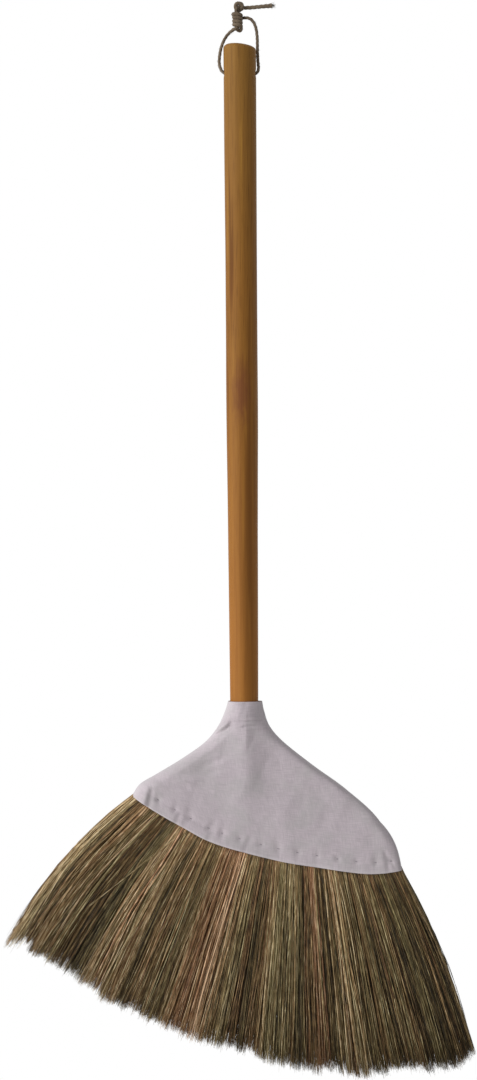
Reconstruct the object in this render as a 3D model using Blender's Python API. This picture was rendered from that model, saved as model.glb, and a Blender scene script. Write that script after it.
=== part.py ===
"""Straw broom with a turned pole, a fan of straw bundles under a cotton cover, and a cord to hang it by.

Metres, +Z up, the front faces -Y. The origin is the point of the cord loop that bears on a hook.
"""

import math

import bmesh
import bpy
import numpy as np
from mathutils import Vector

# Gap left between pieces that touch on the real broom.
GAP = 0.0003

# Handle: a turned pole that leans a little and thins towards the head.
HANDLE_TOP_Z = -0.0230
HANDLE_END_Z = -0.7446
HANDLE_TOP_X = -0.0076
HANDLE_END_X = -0.0026
HANDLE_TOP_RADIUS = 0.0158
HANDLE_MID_RADIUS = 0.0150
HANDLE_NECK_RADIUS = 0.0136
HANDLE_END_RADIUS = 0.0130
HANDLE_MID_Z = -0.400
HANDLE_NECK_Z = -0.655
HANDLE_SIDES = 32
DOME_HEIGHT = 0.0055
DOME_SLANT = 0.12

# Cross hole for the cord. Its axis is the hinge of the broom on its loop.
HOLE_Z = -0.0515
HOLE_RADIUS = 0.0040

# Hanging cord.
CORD_DIAMETER = 0.0030
KNOT_X = -0.0097
KNOT_TURNS = 3.5
KNOT_PITCH = 0.0034
KNOT_COIL_RADIUS = 0.0034
KNOT_CORE_OFFSET = 0.0018
KNOT_TOP_Z = 0.0058

# Cover outline, seen from the front: left x, left z, right x, right z, from the collar to the hem.
COVER_RIBS = (
    (-0.0179, -0.6590, 0.0128, -0.6590),
    (-0.0205, -0.6675, 0.0150, -0.6675),
    (-0.0285, -0.6827, 0.0215, -0.6827),
    (-0.0411, -0.6982, 0.0353, -0.6985),
    (-0.0640, -0.7145, 0.0643, -0.7214),
    (-0.0920, -0.7290, 0.0962, -0.7446),
    (-0.1055, -0.7385, 0.1290, -0.7755),
    (-0.1113, -0.7491, 0.1492, -0.8206),
)
# Half depth of the cover away from the handle, from the collar to the hem.
COVER_HALF_DEPTH = (0.0153, 0.0156, 0.0156, 0.0152, 0.0148, 0.0146, 0.0144, 0.0142)
CLOTH_THICKNESS = 0.0010
HEM_THICKNESS = 0.0018
HEM_HEIGHT_SHARE = 0.09
COVER_COLUMNS = 36
COVER_ROWS_PER_RIB = 2
SEAM_GAP = 0.0004

# Fan: hem x, hem z, straw tip x, straw tip z, from left to right.
FAN = (
    (-0.1113, -0.7491, -0.2331, -0.8922),
    (-0.0856, -0.7654, -0.1995, -0.9128),
    (-0.0609, -0.7793, -0.1518, -0.9403),
    (-0.0386, -0.7912, -0.1112, -0.9629),
    (-0.0104, -0.8006, -0.0647, -0.9817),
    (0.0338, -0.8117, 0.0180, -1.0044),
    (0.0695, -0.8174, 0.0880, -1.0153),
    (0.1073, -0.8228, 0.1570, -1.0156),
    (0.1281, -0.8232, 0.1890, -1.0113),
    (0.1492, -0.8206, 0.2184, -0.9970),
)

# Straw bundles: counts left of the handle, under its end, and right of it.
LEFT_BUNDLES = 8
MIDDLE_BUNDLES = 3
RIGHT_BUNDLES = 9
LEFT_SHARE = 0.40
MIDDLE_SHARE = 0.15
BUNDLE_INSET = 0.0044
BUNDLE_TOP = 0.34
MIDDLE_BUNDLE_TOP = 0.80
BUNDLE_BOTTOM = 0.955
STRANDS_ACROSS = 5
STRANDS_DEEP = 3
STRAND_GAP = 0.0005
STRAND_TIP_SHARE = 0.55
TIP_HALF_DEPTH = 0.0150
TIP_RAGGED = 0.012

# Bindings inside the cover.
BINDING_DIAMETER = 0.0018
BINDING_INSET = 0.0030
NECK_BINDING_TOP = 0.36
NECK_BINDING_PITCH = 0.030
NECK_BINDING_TURNS = 3
UPPER_ROW = 0.60
LOWER_ROW = 0.86


def material(name, colour, roughness, metallic=0.0):
    """A plain Principled material."""
    made = bpy.data.materials.new(name)
    made.use_nodes = True
    shader = made.node_tree.nodes["Principled BSDF"]
    shader.inputs["Base Color"].default_value = (*colour, 1.0)
    shader.inputs["Roughness"].default_value = roughness
    shader.inputs["Metallic"].default_value = metallic
    made.diffuse_color = (*colour, 1.0)
    return made


def finish(obj, surface, smooth=True):
    """Gives an object its material and its shading."""
    obj.data.materials.clear()
    obj.data.materials.append(surface)
    if obj.type == "MESH":
        obj.data.polygons.foreach_set("use_smooth", [smooth] * len(obj.data.polygons))
    return obj


def mesh_object(name, bm):
    """Closes off a bmesh as a named object with its faces outward."""
    bmesh.ops.recalc_face_normals(bm, faces=bm.faces)
    if bm.calc_volume(signed=True) < 0:
        bmesh.ops.reverse_faces(bm, faces=bm.faces)
    mesh = bpy.data.meshes.new(name)
    bm.to_mesh(mesh)
    bm.free()
    obj = bpy.data.objects.new(name, mesh)
    bpy.context.scene.collection.objects.link(obj)
    return obj


def tube(name, points, diameter, closed=False):
    """A round cord along the given points."""
    curve = bpy.data.curves.new(name, "CURVE")
    curve.dimensions = "3D"
    curve.bevel_depth = diameter / 2
    curve.bevel_resolution = 1
    curve.use_fill_caps = not closed
    spline = curve.splines.new("POLY")
    spline.points.add(len(points) - 1)
    for spot, place in zip(spline.points, points):
        spot.co = (*place, 1.0)
    spline.use_cyclic_u = closed
    obj = bpy.data.objects.new(name, curve)
    bpy.context.scene.collection.objects.link(obj)
    return obj


def smooth_route(route, step):
    """Points about a step apart on one smooth curve through the route's points."""
    p = np.array(route, float)
    p = np.vstack([2 * p[0] - p[1], p, 2 * p[-1] - p[-2]])
    out = []
    for i in range(1, len(p) - 2):
        p0, p1, p2, p3 = p[i - 1 : i + 3]
        t0 = 0.0
        t1 = t0 + math.sqrt(np.linalg.norm(p1 - p0))
        t2 = t1 + math.sqrt(np.linalg.norm(p2 - p1))
        t3 = t2 + math.sqrt(np.linalg.norm(p3 - p2))
        count = max(2, int(np.linalg.norm(p2 - p1) / step))
        t = np.linspace(t1, t2, count, endpoint=False)[:, None]
        a1 = (t1 - t) / (t1 - t0) * p0 + (t - t0) / (t1 - t0) * p1
        a2 = (t2 - t) / (t2 - t1) * p1 + (t - t1) / (t2 - t1) * p2
        a3 = (t3 - t) / (t3 - t2) * p2 + (t - t2) / (t3 - t2) * p3
        b1 = (t2 - t) / (t2 - t0) * a1 + (t - t0) / (t2 - t0) * a2
        b2 = (t3 - t) / (t3 - t1) * a2 + (t - t1) / (t3 - t1) * a3
        out.append((t2 - t) / (t2 - t1) * b1 + (t - t1) / (t2 - t1) * b2)
    return np.vstack([*out, p[-2:-1]])


def kept_points(line, longest, sharpest):
    """Leaves out points while a step stays short and the line turns little."""
    kept = [line[0]]
    last = line[1] - line[0]
    for here, after in zip(line[1:-1], line[2:]):
        turn = math.degrees(Vector(last).angle(Vector(after - here)))
        if np.linalg.norm(after - kept[-1]) > longest or turn > sharpest:
            kept.append(here)
            last = after - here
    kept.append(line[-1])
    return np.array(kept)


def least_gap(line, diameter):
    """The least gap between a cord's surface and itself, away from where it runs on."""
    run = np.concatenate([[0.0], np.cumsum(np.linalg.norm(np.diff(line, axis=0), axis=1))])
    apart = np.linalg.norm(line[:, None] - line[None], axis=2)
    apart[np.abs(run[:, None] - run[None]) < 2.5 * diameter] = 1.0
    return apart.min() - diameter, run[-1]


def handle_axis(z):
    """X of the handle's centre line at a height."""
    share = (HANDLE_TOP_Z - z) / (HANDLE_TOP_Z - HANDLE_END_Z)
    return HANDLE_TOP_X + (HANDLE_END_X - HANDLE_TOP_X) * share


def handle_radius(z):
    """Radius of the handle at a height."""
    heights = (HANDLE_END_Z, HANDLE_NECK_Z, HANDLE_MID_Z, HANDLE_TOP_Z)
    radii = (HANDLE_END_RADIUS, HANDLE_NECK_RADIUS, HANDLE_MID_RADIUS, HANDLE_TOP_RADIUS)
    return float(np.interp(z, heights, radii))


def make_handle(surface):
    """The pole, turned about its own axis, with its domed top and its cross hole."""
    centre = Vector((handle_axis(HOLE_Z), 0.0, HOLE_Z))
    lean = math.atan2(HANDLE_TOP_X - HANDLE_END_X, HANDLE_TOP_Z - HANDLE_END_Z)
    top = HANDLE_TOP_Z
    dome = ((0.0, 0.0), (0.45, 0.09), (0.75, 0.28), (0.92, 0.55), (1.0, 1.0))
    profile = [(HANDLE_TOP_RADIUS * r, top - DOME_HEIGHT * d) for r, d in dome]
    for z in (HANDLE_MID_Z, HANDLE_NECK_Z):
        profile.append((handle_radius(z), z))
    profile.append((HANDLE_END_RADIUS, HANDLE_END_Z + 0.001))
    profile.append((HANDLE_END_RADIUS - 0.001, HANDLE_END_Z))
    profile.append((0.0, HANDLE_END_Z))
    bm = bmesh.new()
    spots = [bm.verts.new((r, 0.0, z - HOLE_Z)) for r, z in profile]
    edges = [bm.edges.new(pair) for pair in zip(spots, spots[1:])]
    bmesh.ops.spin(
        bm,
        geom=[*spots, *edges],
        cent=(0, 0, 0),
        axis=(0, 0, 1),
        angle=2 * math.pi,
        steps=HANDLE_SIDES,
        use_merge=True,
    )
    bmesh.ops.remove_doubles(bm, verts=bm.verts, dist=1e-6)
    for v in bm.verts:
        below = (top - HOLE_Z - v.co.z) / 0.012
        v.co.z -= DOME_SLANT * v.co.x * max(0.0, 1.0 - below)
    handle = mesh_object("handle", bm)
    handle.location = centre
    handle.rotation_euler = (0.0, lean, 0.0)
    bm = bmesh.new()
    bmesh.ops.create_cone(
        bm,
        cap_ends=True,
        segments=20,
        radius1=HOLE_RADIUS,
        radius2=HOLE_RADIUS,
        depth=3 * HANDLE_TOP_RADIUS,
    )
    cutter = mesh_object("cross_hole_cutter", bm)
    cutter.location = centre
    cutter.rotation_euler = (0.0, math.pi / 2, 0.0)
    cutter.hide_render = True
    cutter.display_type = "WIRE"
    bore = handle.modifiers.new("cross_hole", "BOOLEAN")
    bore.operation = "DIFFERENCE"
    bore.solver = "EXACT"
    bore.object = cutter
    return finish(handle, surface)


def cord_route():
    """The hanging cord from the end of one tail, through the knot and the hole, to the other."""
    c = KNOT_CORE_OFFSET
    first = [
        (0.0237, 0.0010, 0.0140),
        (0.0160, 0.0014, 0.0135),
        (0.0090, 0.0019, 0.0129),
        (0.0024, 0.0024, 0.0124),
        (-0.0034, 0.0026, 0.0123),
        (-0.0068, 0.0025, 0.0124),
        (-0.0094, 0.0022, 0.0121),
        (-0.0106, 0.0019, 0.0105),
        (-0.0105, c, 0.0082),
        (KNOT_X, c, 0.0056),
        (KNOT_X, c, 0.0010),
        (KNOT_X, c, -0.0035),
        (-0.0099, 0.0022, -0.0070),
        (-0.0092, 0.0034, -0.0093),
        (-0.0074, 0.0036, -0.0097),
        (-0.0062, 0.0023, -0.0081),
    ]
    coil = []
    steps = int(20 * KNOT_TURNS)
    for i in range(steps, -1, -1):
        turn = math.pi + 2 * math.pi * KNOT_TURNS * i / steps
        x = KNOT_X + KNOT_COIL_RADIUS * math.cos(turn)
        y = KNOT_COIL_RADIUS * math.sin(turn) + c * math.tanh(2.5 * math.sin(turn))
        coil.append((x, y, KNOT_TOP_Z - KNOT_PITCH * KNOT_TURNS * i / steps))
    loop = [
        (-0.0139, 0.0030, 0.0061),
        (-0.0134, 0.0066, 0.0055),
        (-0.0103, 0.0090, 0.0046),
        (-0.0068, 0.0082, 0.0037),
        (-0.0040, 0.0052, 0.0030),
        (-0.0020, 0.0022, 0.0025),
        (0.0000, 0.0000, 0.0020),
        (0.0028, 0.0000, 0.0010),
        (0.0057, 0.0006, -0.0018),
        (0.0080, 0.0014, -0.0070),
        (0.0092, 0.0030, -0.0140),
        (0.0096, 0.0042, -0.0220),
        (0.0097, 0.0048, -0.0300),
        (0.0100, 0.0044, -0.0370),
        (0.0104, 0.0028, -0.0425),
        (0.0106, 0.0010, -0.0470),
        (0.0095, 0.0000, -0.0504),
        (0.0066, 0.0000, -0.0524),
        (0.0020, 0.0000, -0.0532),
        (-0.0035, 0.0000, -0.0535),
        (-0.0100, 0.0000, -0.0535),
        (-0.0155, 0.0000, -0.0532),
        (-0.0206, 0.0000, -0.0522),
        (-0.0246, 0.0000, -0.0495),
        (-0.0266, 0.0000, -0.0455),
        (-0.0273, 0.0000, -0.0410),
        (-0.0271, 0.0000, -0.0360),
        (-0.0263, 0.0000, -0.0305),
        (-0.0249, 0.0000, -0.0250),
        (-0.0225, 0.0000, -0.0193),
        (-0.0196, -0.0003, -0.0148),
        (-0.0164, -0.0007, -0.0115),
        (-0.0136, -0.0011, -0.0095),
        (-0.0109, -0.0014, -0.0080),
        (-0.0097, -0.0017, -0.0052),
        (KNOT_X, -c, -0.0010),
        (KNOT_X, -c, 0.0058),
        (-0.0090, -0.0020, 0.0083),
        (-0.0073, -0.0023, 0.0093),
        (-0.0057, -0.0026, 0.0107),
        (-0.0052, -0.0029, 0.0126),
        (-0.0059, -0.0032, 0.0144),
        (-0.0076, -0.0035, 0.0154),
        (-0.0096, -0.0038, 0.0152),
        (-0.0111, -0.0041, 0.0139),
        (-0.0115, -0.0044, 0.0120),
        (-0.0108, -0.0048, 0.0103),
        (-0.0096, -0.0052, 0.0093),
    ]
    return first + coil + loop


def make_cord(surface):
    """The cord as one unbroken tube. Prints its length and its least gap to itself."""
    line = smooth_route(cord_route(), 0.0006)
    gap, length = least_gap(line, CORD_DIAMETER)
    print(f"hanging_cord: {length:.3f} m long, least gap to itself {gap * 1000:.2f} mm")
    return finish(tube("hanging_cord", kept_points(line, 0.0062, 22), CORD_DIAMETER), surface)


def ribs(inset):
    """The cover's outline moved inward, as left and right points from the collar to the hem."""
    table = np.array(COVER_RIBS)
    sides = []
    for points, inward in ((table[:, :2], 1.0), (table[:, 2:], -1.0)):
        along = np.gradient(points, axis=0)
        along /= np.linalg.norm(along, axis=1)[:, None]
        normal = np.stack([-along[:, 1], along[:, 0]], axis=1)
        normal *= (np.sign(normal[:, 0]) * inward)[:, None]
        sides.append(points + normal * inset)
    return sides


def on_polyline(points, share):
    """The place at a share of the way through a row of points, counted in points."""
    at = share * (len(points) - 1)
    index = np.arange(len(points))
    return np.array([np.interp(at, index, column) for column in np.transpose(points)])


def fan_places(u):
    """The hem point and the tip point at a share of the fan from the left."""
    table = np.array(FAN)
    run = np.concatenate([[0], np.cumsum(np.linalg.norm(np.diff(table[:, :2], axis=0), axis=1))])
    place = [np.interp(u, run / run[-1], column) for column in table.T]
    return np.array(place[:2]), np.array(place[2:])


def hem_sag(u, v):
    """How far the rows of the head curve away from straight lines on their way to the hem."""
    ends = np.array(COVER_RIBS[-1])
    grown = max(0.0, (v - 0.45) / 0.55) ** 2
    return grown * (fan_places(u)[0] - (ends[:2] + (ends[2:] - ends[:2]) * u))


def head_place(u, v, inset):
    """A point of the head seen from the front, and its half depth, this far under the cloth.

    u runs from the left outline to the right one, v from the collar to the hem.
    """
    left, right = (on_polyline(side, v) for side in ribs(inset))
    flat = float(on_polyline(np.array(COVER_HALF_DEPTH)[:, None], v)[0]) - inset
    width = float(np.linalg.norm(right - left))
    spot = left + (right - left) * u
    spot = spot + hem_sag(u, v)
    corner = min(width / 2, flat)
    t = min(1.0, min(u, 1 - u) * width / corner)
    slab = flat * math.sqrt(1 - (1 - t) ** 2)
    grown = min(1.0, max(0.0, (v - 0.02) / 0.22))
    over = handle_radius(spot[1]) + 0.0016 + 0.0030 * grown - inset
    from_axis = abs(spot[0] - handle_axis(spot[1]))
    past_end = max(0.0, HANDLE_END_Z - 0.002 - spot[1]) / 0.040
    ridge = math.sqrt(max(0.0, over**2 - from_axis**2)) * max(0.0, 1 - past_end**2)
    depth = max(slab, (slab**6 + ridge**6) ** (1 / 6))
    return spot, depth


def make_cover(name, facing, surface):
    """One cotton panel of the sleeve, with a thicker hem. facing is -1 in front, 1 behind."""
    rows = COVER_ROWS_PER_RIB * (len(COVER_RIBS) - 1)
    bm = bmesh.new()
    bmesh.ops.create_grid(bm, x_segments=COVER_COLUMNS, y_segments=rows, size=1.0)
    grown = bmesh.ops.extrude_face_region(bm, geom=bm.faces[:], use_keep_orig=True)
    for item in grown["geom"]:
        if isinstance(item, bmesh.types.BMVert):
            item.co.z = 1.0
    for vert in bm.verts:
        u = (1 - math.cos(math.pi * (vert.co.x + 1) / 2)) / 2
        v = (1 - vert.co.y) / 2
        hem = min(1.0, max(0.0, (v - 1 + HEM_HEIGHT_SHARE) / 0.02))
        cloth = CLOTH_THICKNESS + (HEM_THICKNESS - CLOTH_THICKNESS) * hem
        inset = cloth if vert.co.z > 0.5 else 0.0
        spot, depth = head_place(u, v, inset)
        vert.co = (spot[0], facing * (depth + SEAM_GAP / 2), spot[1])
    return finish(mesh_object(name, bm), surface)


def bundle_bounds(index, v):
    """The shares of the head's width between which a bundle lies, at a share of its height."""
    left, right = (on_polyline(side, v) for side in ribs(BUNDLE_INSET))
    width = right[0] - left[0]
    middle_z = left[1] + (right[1] - left[1]) * 0.45
    axis = handle_axis(middle_z)
    room = handle_radius(middle_z) + GAP + 0.0002
    start = left[0] + hem_sag(0.47, v)[0]
    beside = [(axis - room - start) / width, (axis + room - start) / width]
    free = min(1.0, max(0.0, (v - 0.78) / 0.20))
    low = beside[0] + (LEFT_SHARE - beside[0]) * free
    high = beside[1] + (LEFT_SHARE + MIDDLE_SHARE - beside[1]) * free
    if index < LEFT_BUNDLES:
        return low * index / LEFT_BUNDLES, low * (index + 1) / LEFT_BUNDLES, width
    index -= LEFT_BUNDLES
    if index < MIDDLE_BUNDLES:
        step = (high - low) / MIDDLE_BUNDLES
        return low + step * index, low + step * (index + 1), width
    index -= MIDDLE_BUNDLES
    step = (1 - high) / RIGHT_BUNDLES
    return high + step * index, high + step * (index + 1), width


def bundle_place(index, a, b, v):
    """A bundle's point inside the cover. a runs across it from 0 to 1, b through it from -1 to 1."""
    low, high, width = bundle_bounds(index, v)
    margin = (GAP / 2 + 0.00005) / width
    u = low + margin + (high - low - 2 * margin) * a
    spot, depth = head_place(u, v, BUNDLE_INSET)
    left, right = (on_polyline(side, v) for side in ribs(BUNDLE_INSET))
    flat = float(on_polyline(np.array(COVER_HALF_DEPTH)[:, None], v)[0]) - BUNDLE_INSET
    corner = min(width / 2, flat)
    t = min(1.0, min(u, 1 - u) * width / corner)
    slab = max(0.0012, flat * math.sqrt(1 - (1 - t) ** 2))
    return Vector((spot[0], b * min(depth, slab), spot[1]))


def tip_place(index, a, b, ragged):
    """Where the straw that leaves the bundle at a and b ends."""
    low, high, width = bundle_bounds(index, 1.0)
    u = low + (high - low) * a
    hem, tip = fan_places(u)
    run = (tip - hem) / np.linalg.norm(tip - hem)
    tip = tip + run * ragged
    edge = min(1.0, min(u, 1 - u) / 0.03)
    return Vector((tip[0], b * TIP_HALF_DEPTH * (0.45 + 0.55 * math.sqrt(edge)), tip[1]))


def make_bundle(index, surface):
    """One bundle: packed stems inside the cover and separate straws below its hem."""
    first = BUNDLE_TOP
    if LEFT_BUNDLES <= index < LEFT_BUNDLES + MIDDLE_BUNDLES:
        first = MIDDLE_BUNDLE_TOP
    levels = [v for v in (BUNDLE_TOP, 0.43, 0.57, 0.714, MIDDLE_BUNDLE_TOP, 0.88) if v >= first]
    bm = bmesh.new()
    made = bmesh.ops.create_grid(
        bm, x_segments=STRANDS_ACROSS, y_segments=STRANDS_DEEP, size=1.0
    )
    flat = {v: (v.co.x, v.co.y) for v in made["verts"]}
    sides = (
        lambda a, b: b < -0.99,
        lambda a, b: a > 0.99,
        lambda a, b: b > 0.99,
        lambda a, b: a < -0.99,
    )
    corners = ((-1, -1), (1, -1), (1, 1), (-1, 1))
    order = (
        lambda a, b: a,
        lambda a, b: b,
        lambda a, b: -a,
        lambda a, b: -b,
    )
    ring = [bm.verts.new((0, 0, 0)) for _ in corners]
    places = {v: (*c, levels[-1]) for v, c in zip(ring, corners)}
    for k, (on_side, along) in enumerate(zip(sides, order)):
        row = sorted((v for v, ab in flat.items() if on_side(*ab)), key=lambda v: along(*flat[v]))
        bm.faces.new([*row, ring[(k + 1) % 4], ring[k]])
    for v in reversed(levels[:-1]):
        above = [bm.verts.new((0, 0, 0)) for _ in corners]
        places.update({w: (*c, v) for w, c in zip(above, corners)})
        for k in range(4):
            bm.faces.new([ring[k], ring[(k + 1) % 4], above[(k + 1) % 4], above[k]])
        ring = above
    bm.faces.new(ring)
    for vert, (a, b) in flat.items():
        vert.co = bundle_place(index, (a + 1) / 2, b, BUNDLE_BOTTOM)
    for vert, (a, b, v) in places.items():
        vert.co = bundle_place(index, (a + 1) / 2, b, v)
    bases = [f for f in bm.faces if all(v in flat for v in f.verts)]
    centres = {f: np.mean([flat[v] for v in f.verts], axis=0) for f in bases}
    for number, (face, centre) in enumerate(centres.items()):
        outer = [flat[v] for v in face.verts]
        base_places = {ab: bundle_place(index, (ab[0] + 1) / 2, ab[1], BUNDLE_BOTTOM) for ab in outer}
        bmesh.ops.inset_individual(bm, faces=[face], thickness=STRAND_GAP / 2)
        inner = list(face.verts)
        bmesh.ops.extrude_discrete_faces(bm, faces=[face])
        bm.verts.ensure_lookup_table()
        ends = bm.verts[-len(inner) :]
        ragged = TIP_RAGGED * (math.sin(12.9898 * (index * 37 + number) + 4.1) * 0.5)
        for end, base in zip(ends, inner):
            near = min(outer, key=lambda ab: (base_places[ab] - end.co).length)
            a = centre[0] + (near[0] - centre[0]) * STRAND_TIP_SHARE
            b = centre[1] + (near[1] - centre[1]) * STRAND_TIP_SHARE
            end.co = tip_place(index, (a + 1) / 2, b, ragged)
    return finish(mesh_object(f"straw_bundle_{index + 1:02d}", bm), surface, smooth=False)


def section(v, inset):
    """A closed row of points round the head at a share of its height, this far under the cloth."""
    shares = (1 - np.cos(np.linspace(0, math.pi, 19))) / 2
    ring = []
    for facing, row in ((-1, shares), (1, shares[-2:0:-1])):
        for u in row:
            spot, depth = head_place(float(u), v, inset)
            ring.append((spot[0], facing * depth, spot[1]))
    return ring


def make_row_binding(name, v, surface):
    """A cord laid once round all the bundles inside the cover."""
    return finish(tube(name, section(v, BINDING_INSET), BINDING_DIAMETER, closed=True), surface)


def make_neck_binding(surface):
    """The cord wound round the stems and the handle at the neck, as one unbroken tube."""
    per_turn = 24
    line = []
    for i in range(NECK_BINDING_TURNS * per_turn + 1):
        v = NECK_BINDING_TOP + NECK_BINDING_PITCH * i / per_turn
        angle = 2 * math.pi * i / per_turn
        u = (1 - math.cos(angle)) / 2
        spot, depth = head_place(u, v, BINDING_INSET)
        facing = -1 if (i // (per_turn // 2)) % 2 == 0 else 1
        line.append((spot[0], facing * depth, spot[1]))
    line = np.array(line)
    gap, length = least_gap(line, BINDING_DIAMETER)
    print(f"neck_binding: {length:.3f} m long, least gap to itself {gap * 1000:.2f} mm")
    return finish(tube("neck_binding", line, BINDING_DIAMETER), surface)


def main():
    for obj in list(bpy.data.objects):
        bpy.data.objects.remove(obj, do_unlink=True)
    wood = material("varnished_wood", (0.33, 0.17, 0.06), 0.42)
    twine = material("twine", (0.17, 0.13, 0.10), 0.9)
    cotton = material("white_cotton", (0.62, 0.58, 0.63), 0.9)
    thread = material("binding_cord", (0.45, 0.38, 0.27), 0.85)
    straws = [
        material("straw_olive", (0.16, 0.12, 0.055), 0.75),
        material("straw_tan", (0.28, 0.19, 0.09), 0.75),
        material("straw_brown", (0.11, 0.07, 0.035), 0.75),
    ]
    make_handle(wood)
    make_cord(twine)
    make_cover("cover_front", -1, cotton)
    make_cover("cover_back", 1, cotton)
    make_neck_binding(thread)
    make_row_binding("row_binding_upper", UPPER_ROW, thread)
    make_row_binding("row_binding_lower", LOWER_ROW, thread)
    for index in range(LEFT_BUNDLES + MIDDLE_BUNDLES + RIGHT_BUNDLES):
        make_bundle(index, straws[index * 7 % 3])


main()
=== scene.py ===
"""Looks of a straw broom: a varnished pole, a fan of straw under a cotton cover, and a cord to hang it by.

Metres, +Z up, the front faces -Y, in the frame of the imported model. The origin lies just under the
cord, where its loop bears the broom's weight.
"""

import logging
import math
from dataclasses import dataclass
from enum import Enum

import bpy
import numpy as np
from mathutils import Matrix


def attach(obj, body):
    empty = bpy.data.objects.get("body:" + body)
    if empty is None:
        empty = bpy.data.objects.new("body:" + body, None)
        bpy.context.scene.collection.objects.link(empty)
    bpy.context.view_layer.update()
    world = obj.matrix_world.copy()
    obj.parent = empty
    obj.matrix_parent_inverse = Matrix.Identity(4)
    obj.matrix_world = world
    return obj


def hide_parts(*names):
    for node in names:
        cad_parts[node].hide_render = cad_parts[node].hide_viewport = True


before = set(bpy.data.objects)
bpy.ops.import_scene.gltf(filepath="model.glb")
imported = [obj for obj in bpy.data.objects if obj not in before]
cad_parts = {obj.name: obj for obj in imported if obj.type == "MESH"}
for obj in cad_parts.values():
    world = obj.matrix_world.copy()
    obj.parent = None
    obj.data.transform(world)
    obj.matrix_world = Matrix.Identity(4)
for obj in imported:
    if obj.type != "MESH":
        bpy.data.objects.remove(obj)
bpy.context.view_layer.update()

Array = np.ndarray
Colour = tuple[float, float, float, float]
log = logging.getLogger("straw_broom")

MM = 0.001
BUNDLES = 20
# The photograph's height in pixels, and what a pixel of it measures on the broom.
PHOTO_HEIGHT = 1080
PIXEL = 0.967 * MM
# The cord's hole through the pole.
HOLE_HEIGHT = -0.0515
HOLE_RADIUS = 4.0 * MM
# The inputs of a node that maps one range of numbers onto another.
RANGE = ("Value", "From Min", "From Max", "To Min", "To Max")


class Side(Enum):
    """The two faces of the flat head, by the sign of Y."""

    FRONT = -1
    BACK = 1


class Straw(Enum):
    """Kinds of straw tuft: how light it is, and how far it goes from green to russet, both 0 to 1."""

    SHADE = (0.19, 0.36)
    MOSS = (0.32, 0.22)
    OLIVE = (0.38, 0.34)
    BARK = (0.29, 0.56)
    TAN = (0.45, 0.54)
    WHEAT = (0.52, 0.42)
    RUSSET = (0.47, 0.80)


def linear(colour: str) -> Colour:
    """Turns an sRGB hex colour to linear light, with full alpha.

    Args:
        colour: the colour as #RRGGBB.

    Returns:
        Red, green, blue and alpha, each 0 to 1.
    """
    share = np.array([int(colour[i : i + 2], 16) / 255 for i in (1, 3, 5)])
    light = np.where(share <= 0.04045, share / 12.92, ((share + 0.055) / 1.055) ** 2.4)
    return (*light.tolist(), 1.0)


def add(
    tree: bpy.types.NodeTree,
    kind: str,
    feeds: dict | None = None,
    stops: tuple[tuple[float, str], ...] = (),
    **settings: object,
) -> bpy.types.Node:
    """Adds one node with its settings and links.

    Args:
        tree: the node tree that gets the node.
        kind: Blender's name for the kind of node.
        feeds: for an input's name or number, its value, its hex colour, or the output that feeds it.
        stops: the places and hex colours of a colour ramp.
        settings: the node's own properties.

    Returns:
        The new node.
    """
    node = tree.nodes.new(kind)
    for name, value in settings.items():
        setattr(node, name, value)
    if stops:
        ramp = node.color_ramp
        ramp.elements.remove(ramp.elements[1])
        ramp.elements[0].position = stops[0][0]
        for place, _ in stops[1:]:
            ramp.elements.new(place)
        for element, (_, colour) in zip(ramp.elements, stops):
            element.color = linear(colour)
    for name, value in (feeds or {}).items():
        if isinstance(value, bpy.types.NodeSocket):
            tree.links.new(value, node.inputs[name])
        else:
            node.inputs[name].default_value = linear(value) if isinstance(value, str) else value
    return node


def unit(vectors: Array) -> Array:
    """Vectors scaled to length one."""
    return vectors / np.maximum(np.linalg.norm(vectors, axis=-1, keepdims=True), 1e-12)


def ease(low: float, high: float, value: Array) -> Array:
    """0 below low and 1 above high, with the smooth step 3t^2 - 2t^3 between."""
    t = np.clip((value - low) / (high - low), 0.0, 1.0)
    return t * t * (3 - 2 * t)


def through(rows: Array, share: Array) -> Array:
    """A place on a smooth curve through evenly numbered rows of numbers.

    Between neighbours the curve is a cubic whose slope at each row is half the step from the row
    before it to the row after it.

    Args:
        rows: the rows, one point each.
        share: how far along the rows, 0 to 1, in an array of any shape.

    Returns:
        A point for each share, along a new last axis.
    """
    rows = np.asarray(rows, float)
    ends = np.vstack([2 * rows[:1] - rows[1:2], rows, 2 * rows[-1:] - rows[-2:-1]])
    place = np.clip(share, 0.0, 1.0) * (len(rows) - 1)
    first = np.minimum(place.astype(int), len(rows) - 2)
    t = (place - first)[..., None]
    a, b, c, d = (ends[first + k] for k in range(4))
    return 0.5 * (2 * b + (c - a) * t + (2 * a - 5 * b + 4 * c - d) * t**2 + (3 * b - a - 3 * c + d) * t**3)


def relief(x: Array, z: Array, seed: int, longest: float, shortest: float, waves: int = 48) -> Array:
    """Soft random relief of about unit height over a flat place.

    It is a sum of sine waves. Each has its own direction, phase and wavelength, and is as strong as
    it is long.

    Args:
        x: places across.
        z: places up.
        seed: picks the waves.
        longest: the longest wavelength.
        shortest: the shortest wavelength.
        waves: how many waves.

    Returns:
        A height for each place.
    """
    draw = np.random.default_rng(seed)
    angle, phase = draw.uniform(0, 2 * np.pi, (2, waves))
    length = longest * (shortest / longest) ** draw.uniform(0, 1, waves)
    weight = length / np.sqrt((length**2).sum() / 2)
    turn = (x[..., None] * np.cos(angle) + z[..., None] * np.sin(angle)) / length
    return (weight * np.sin(2 * np.pi * turn + phase)).sum(-1)


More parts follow.
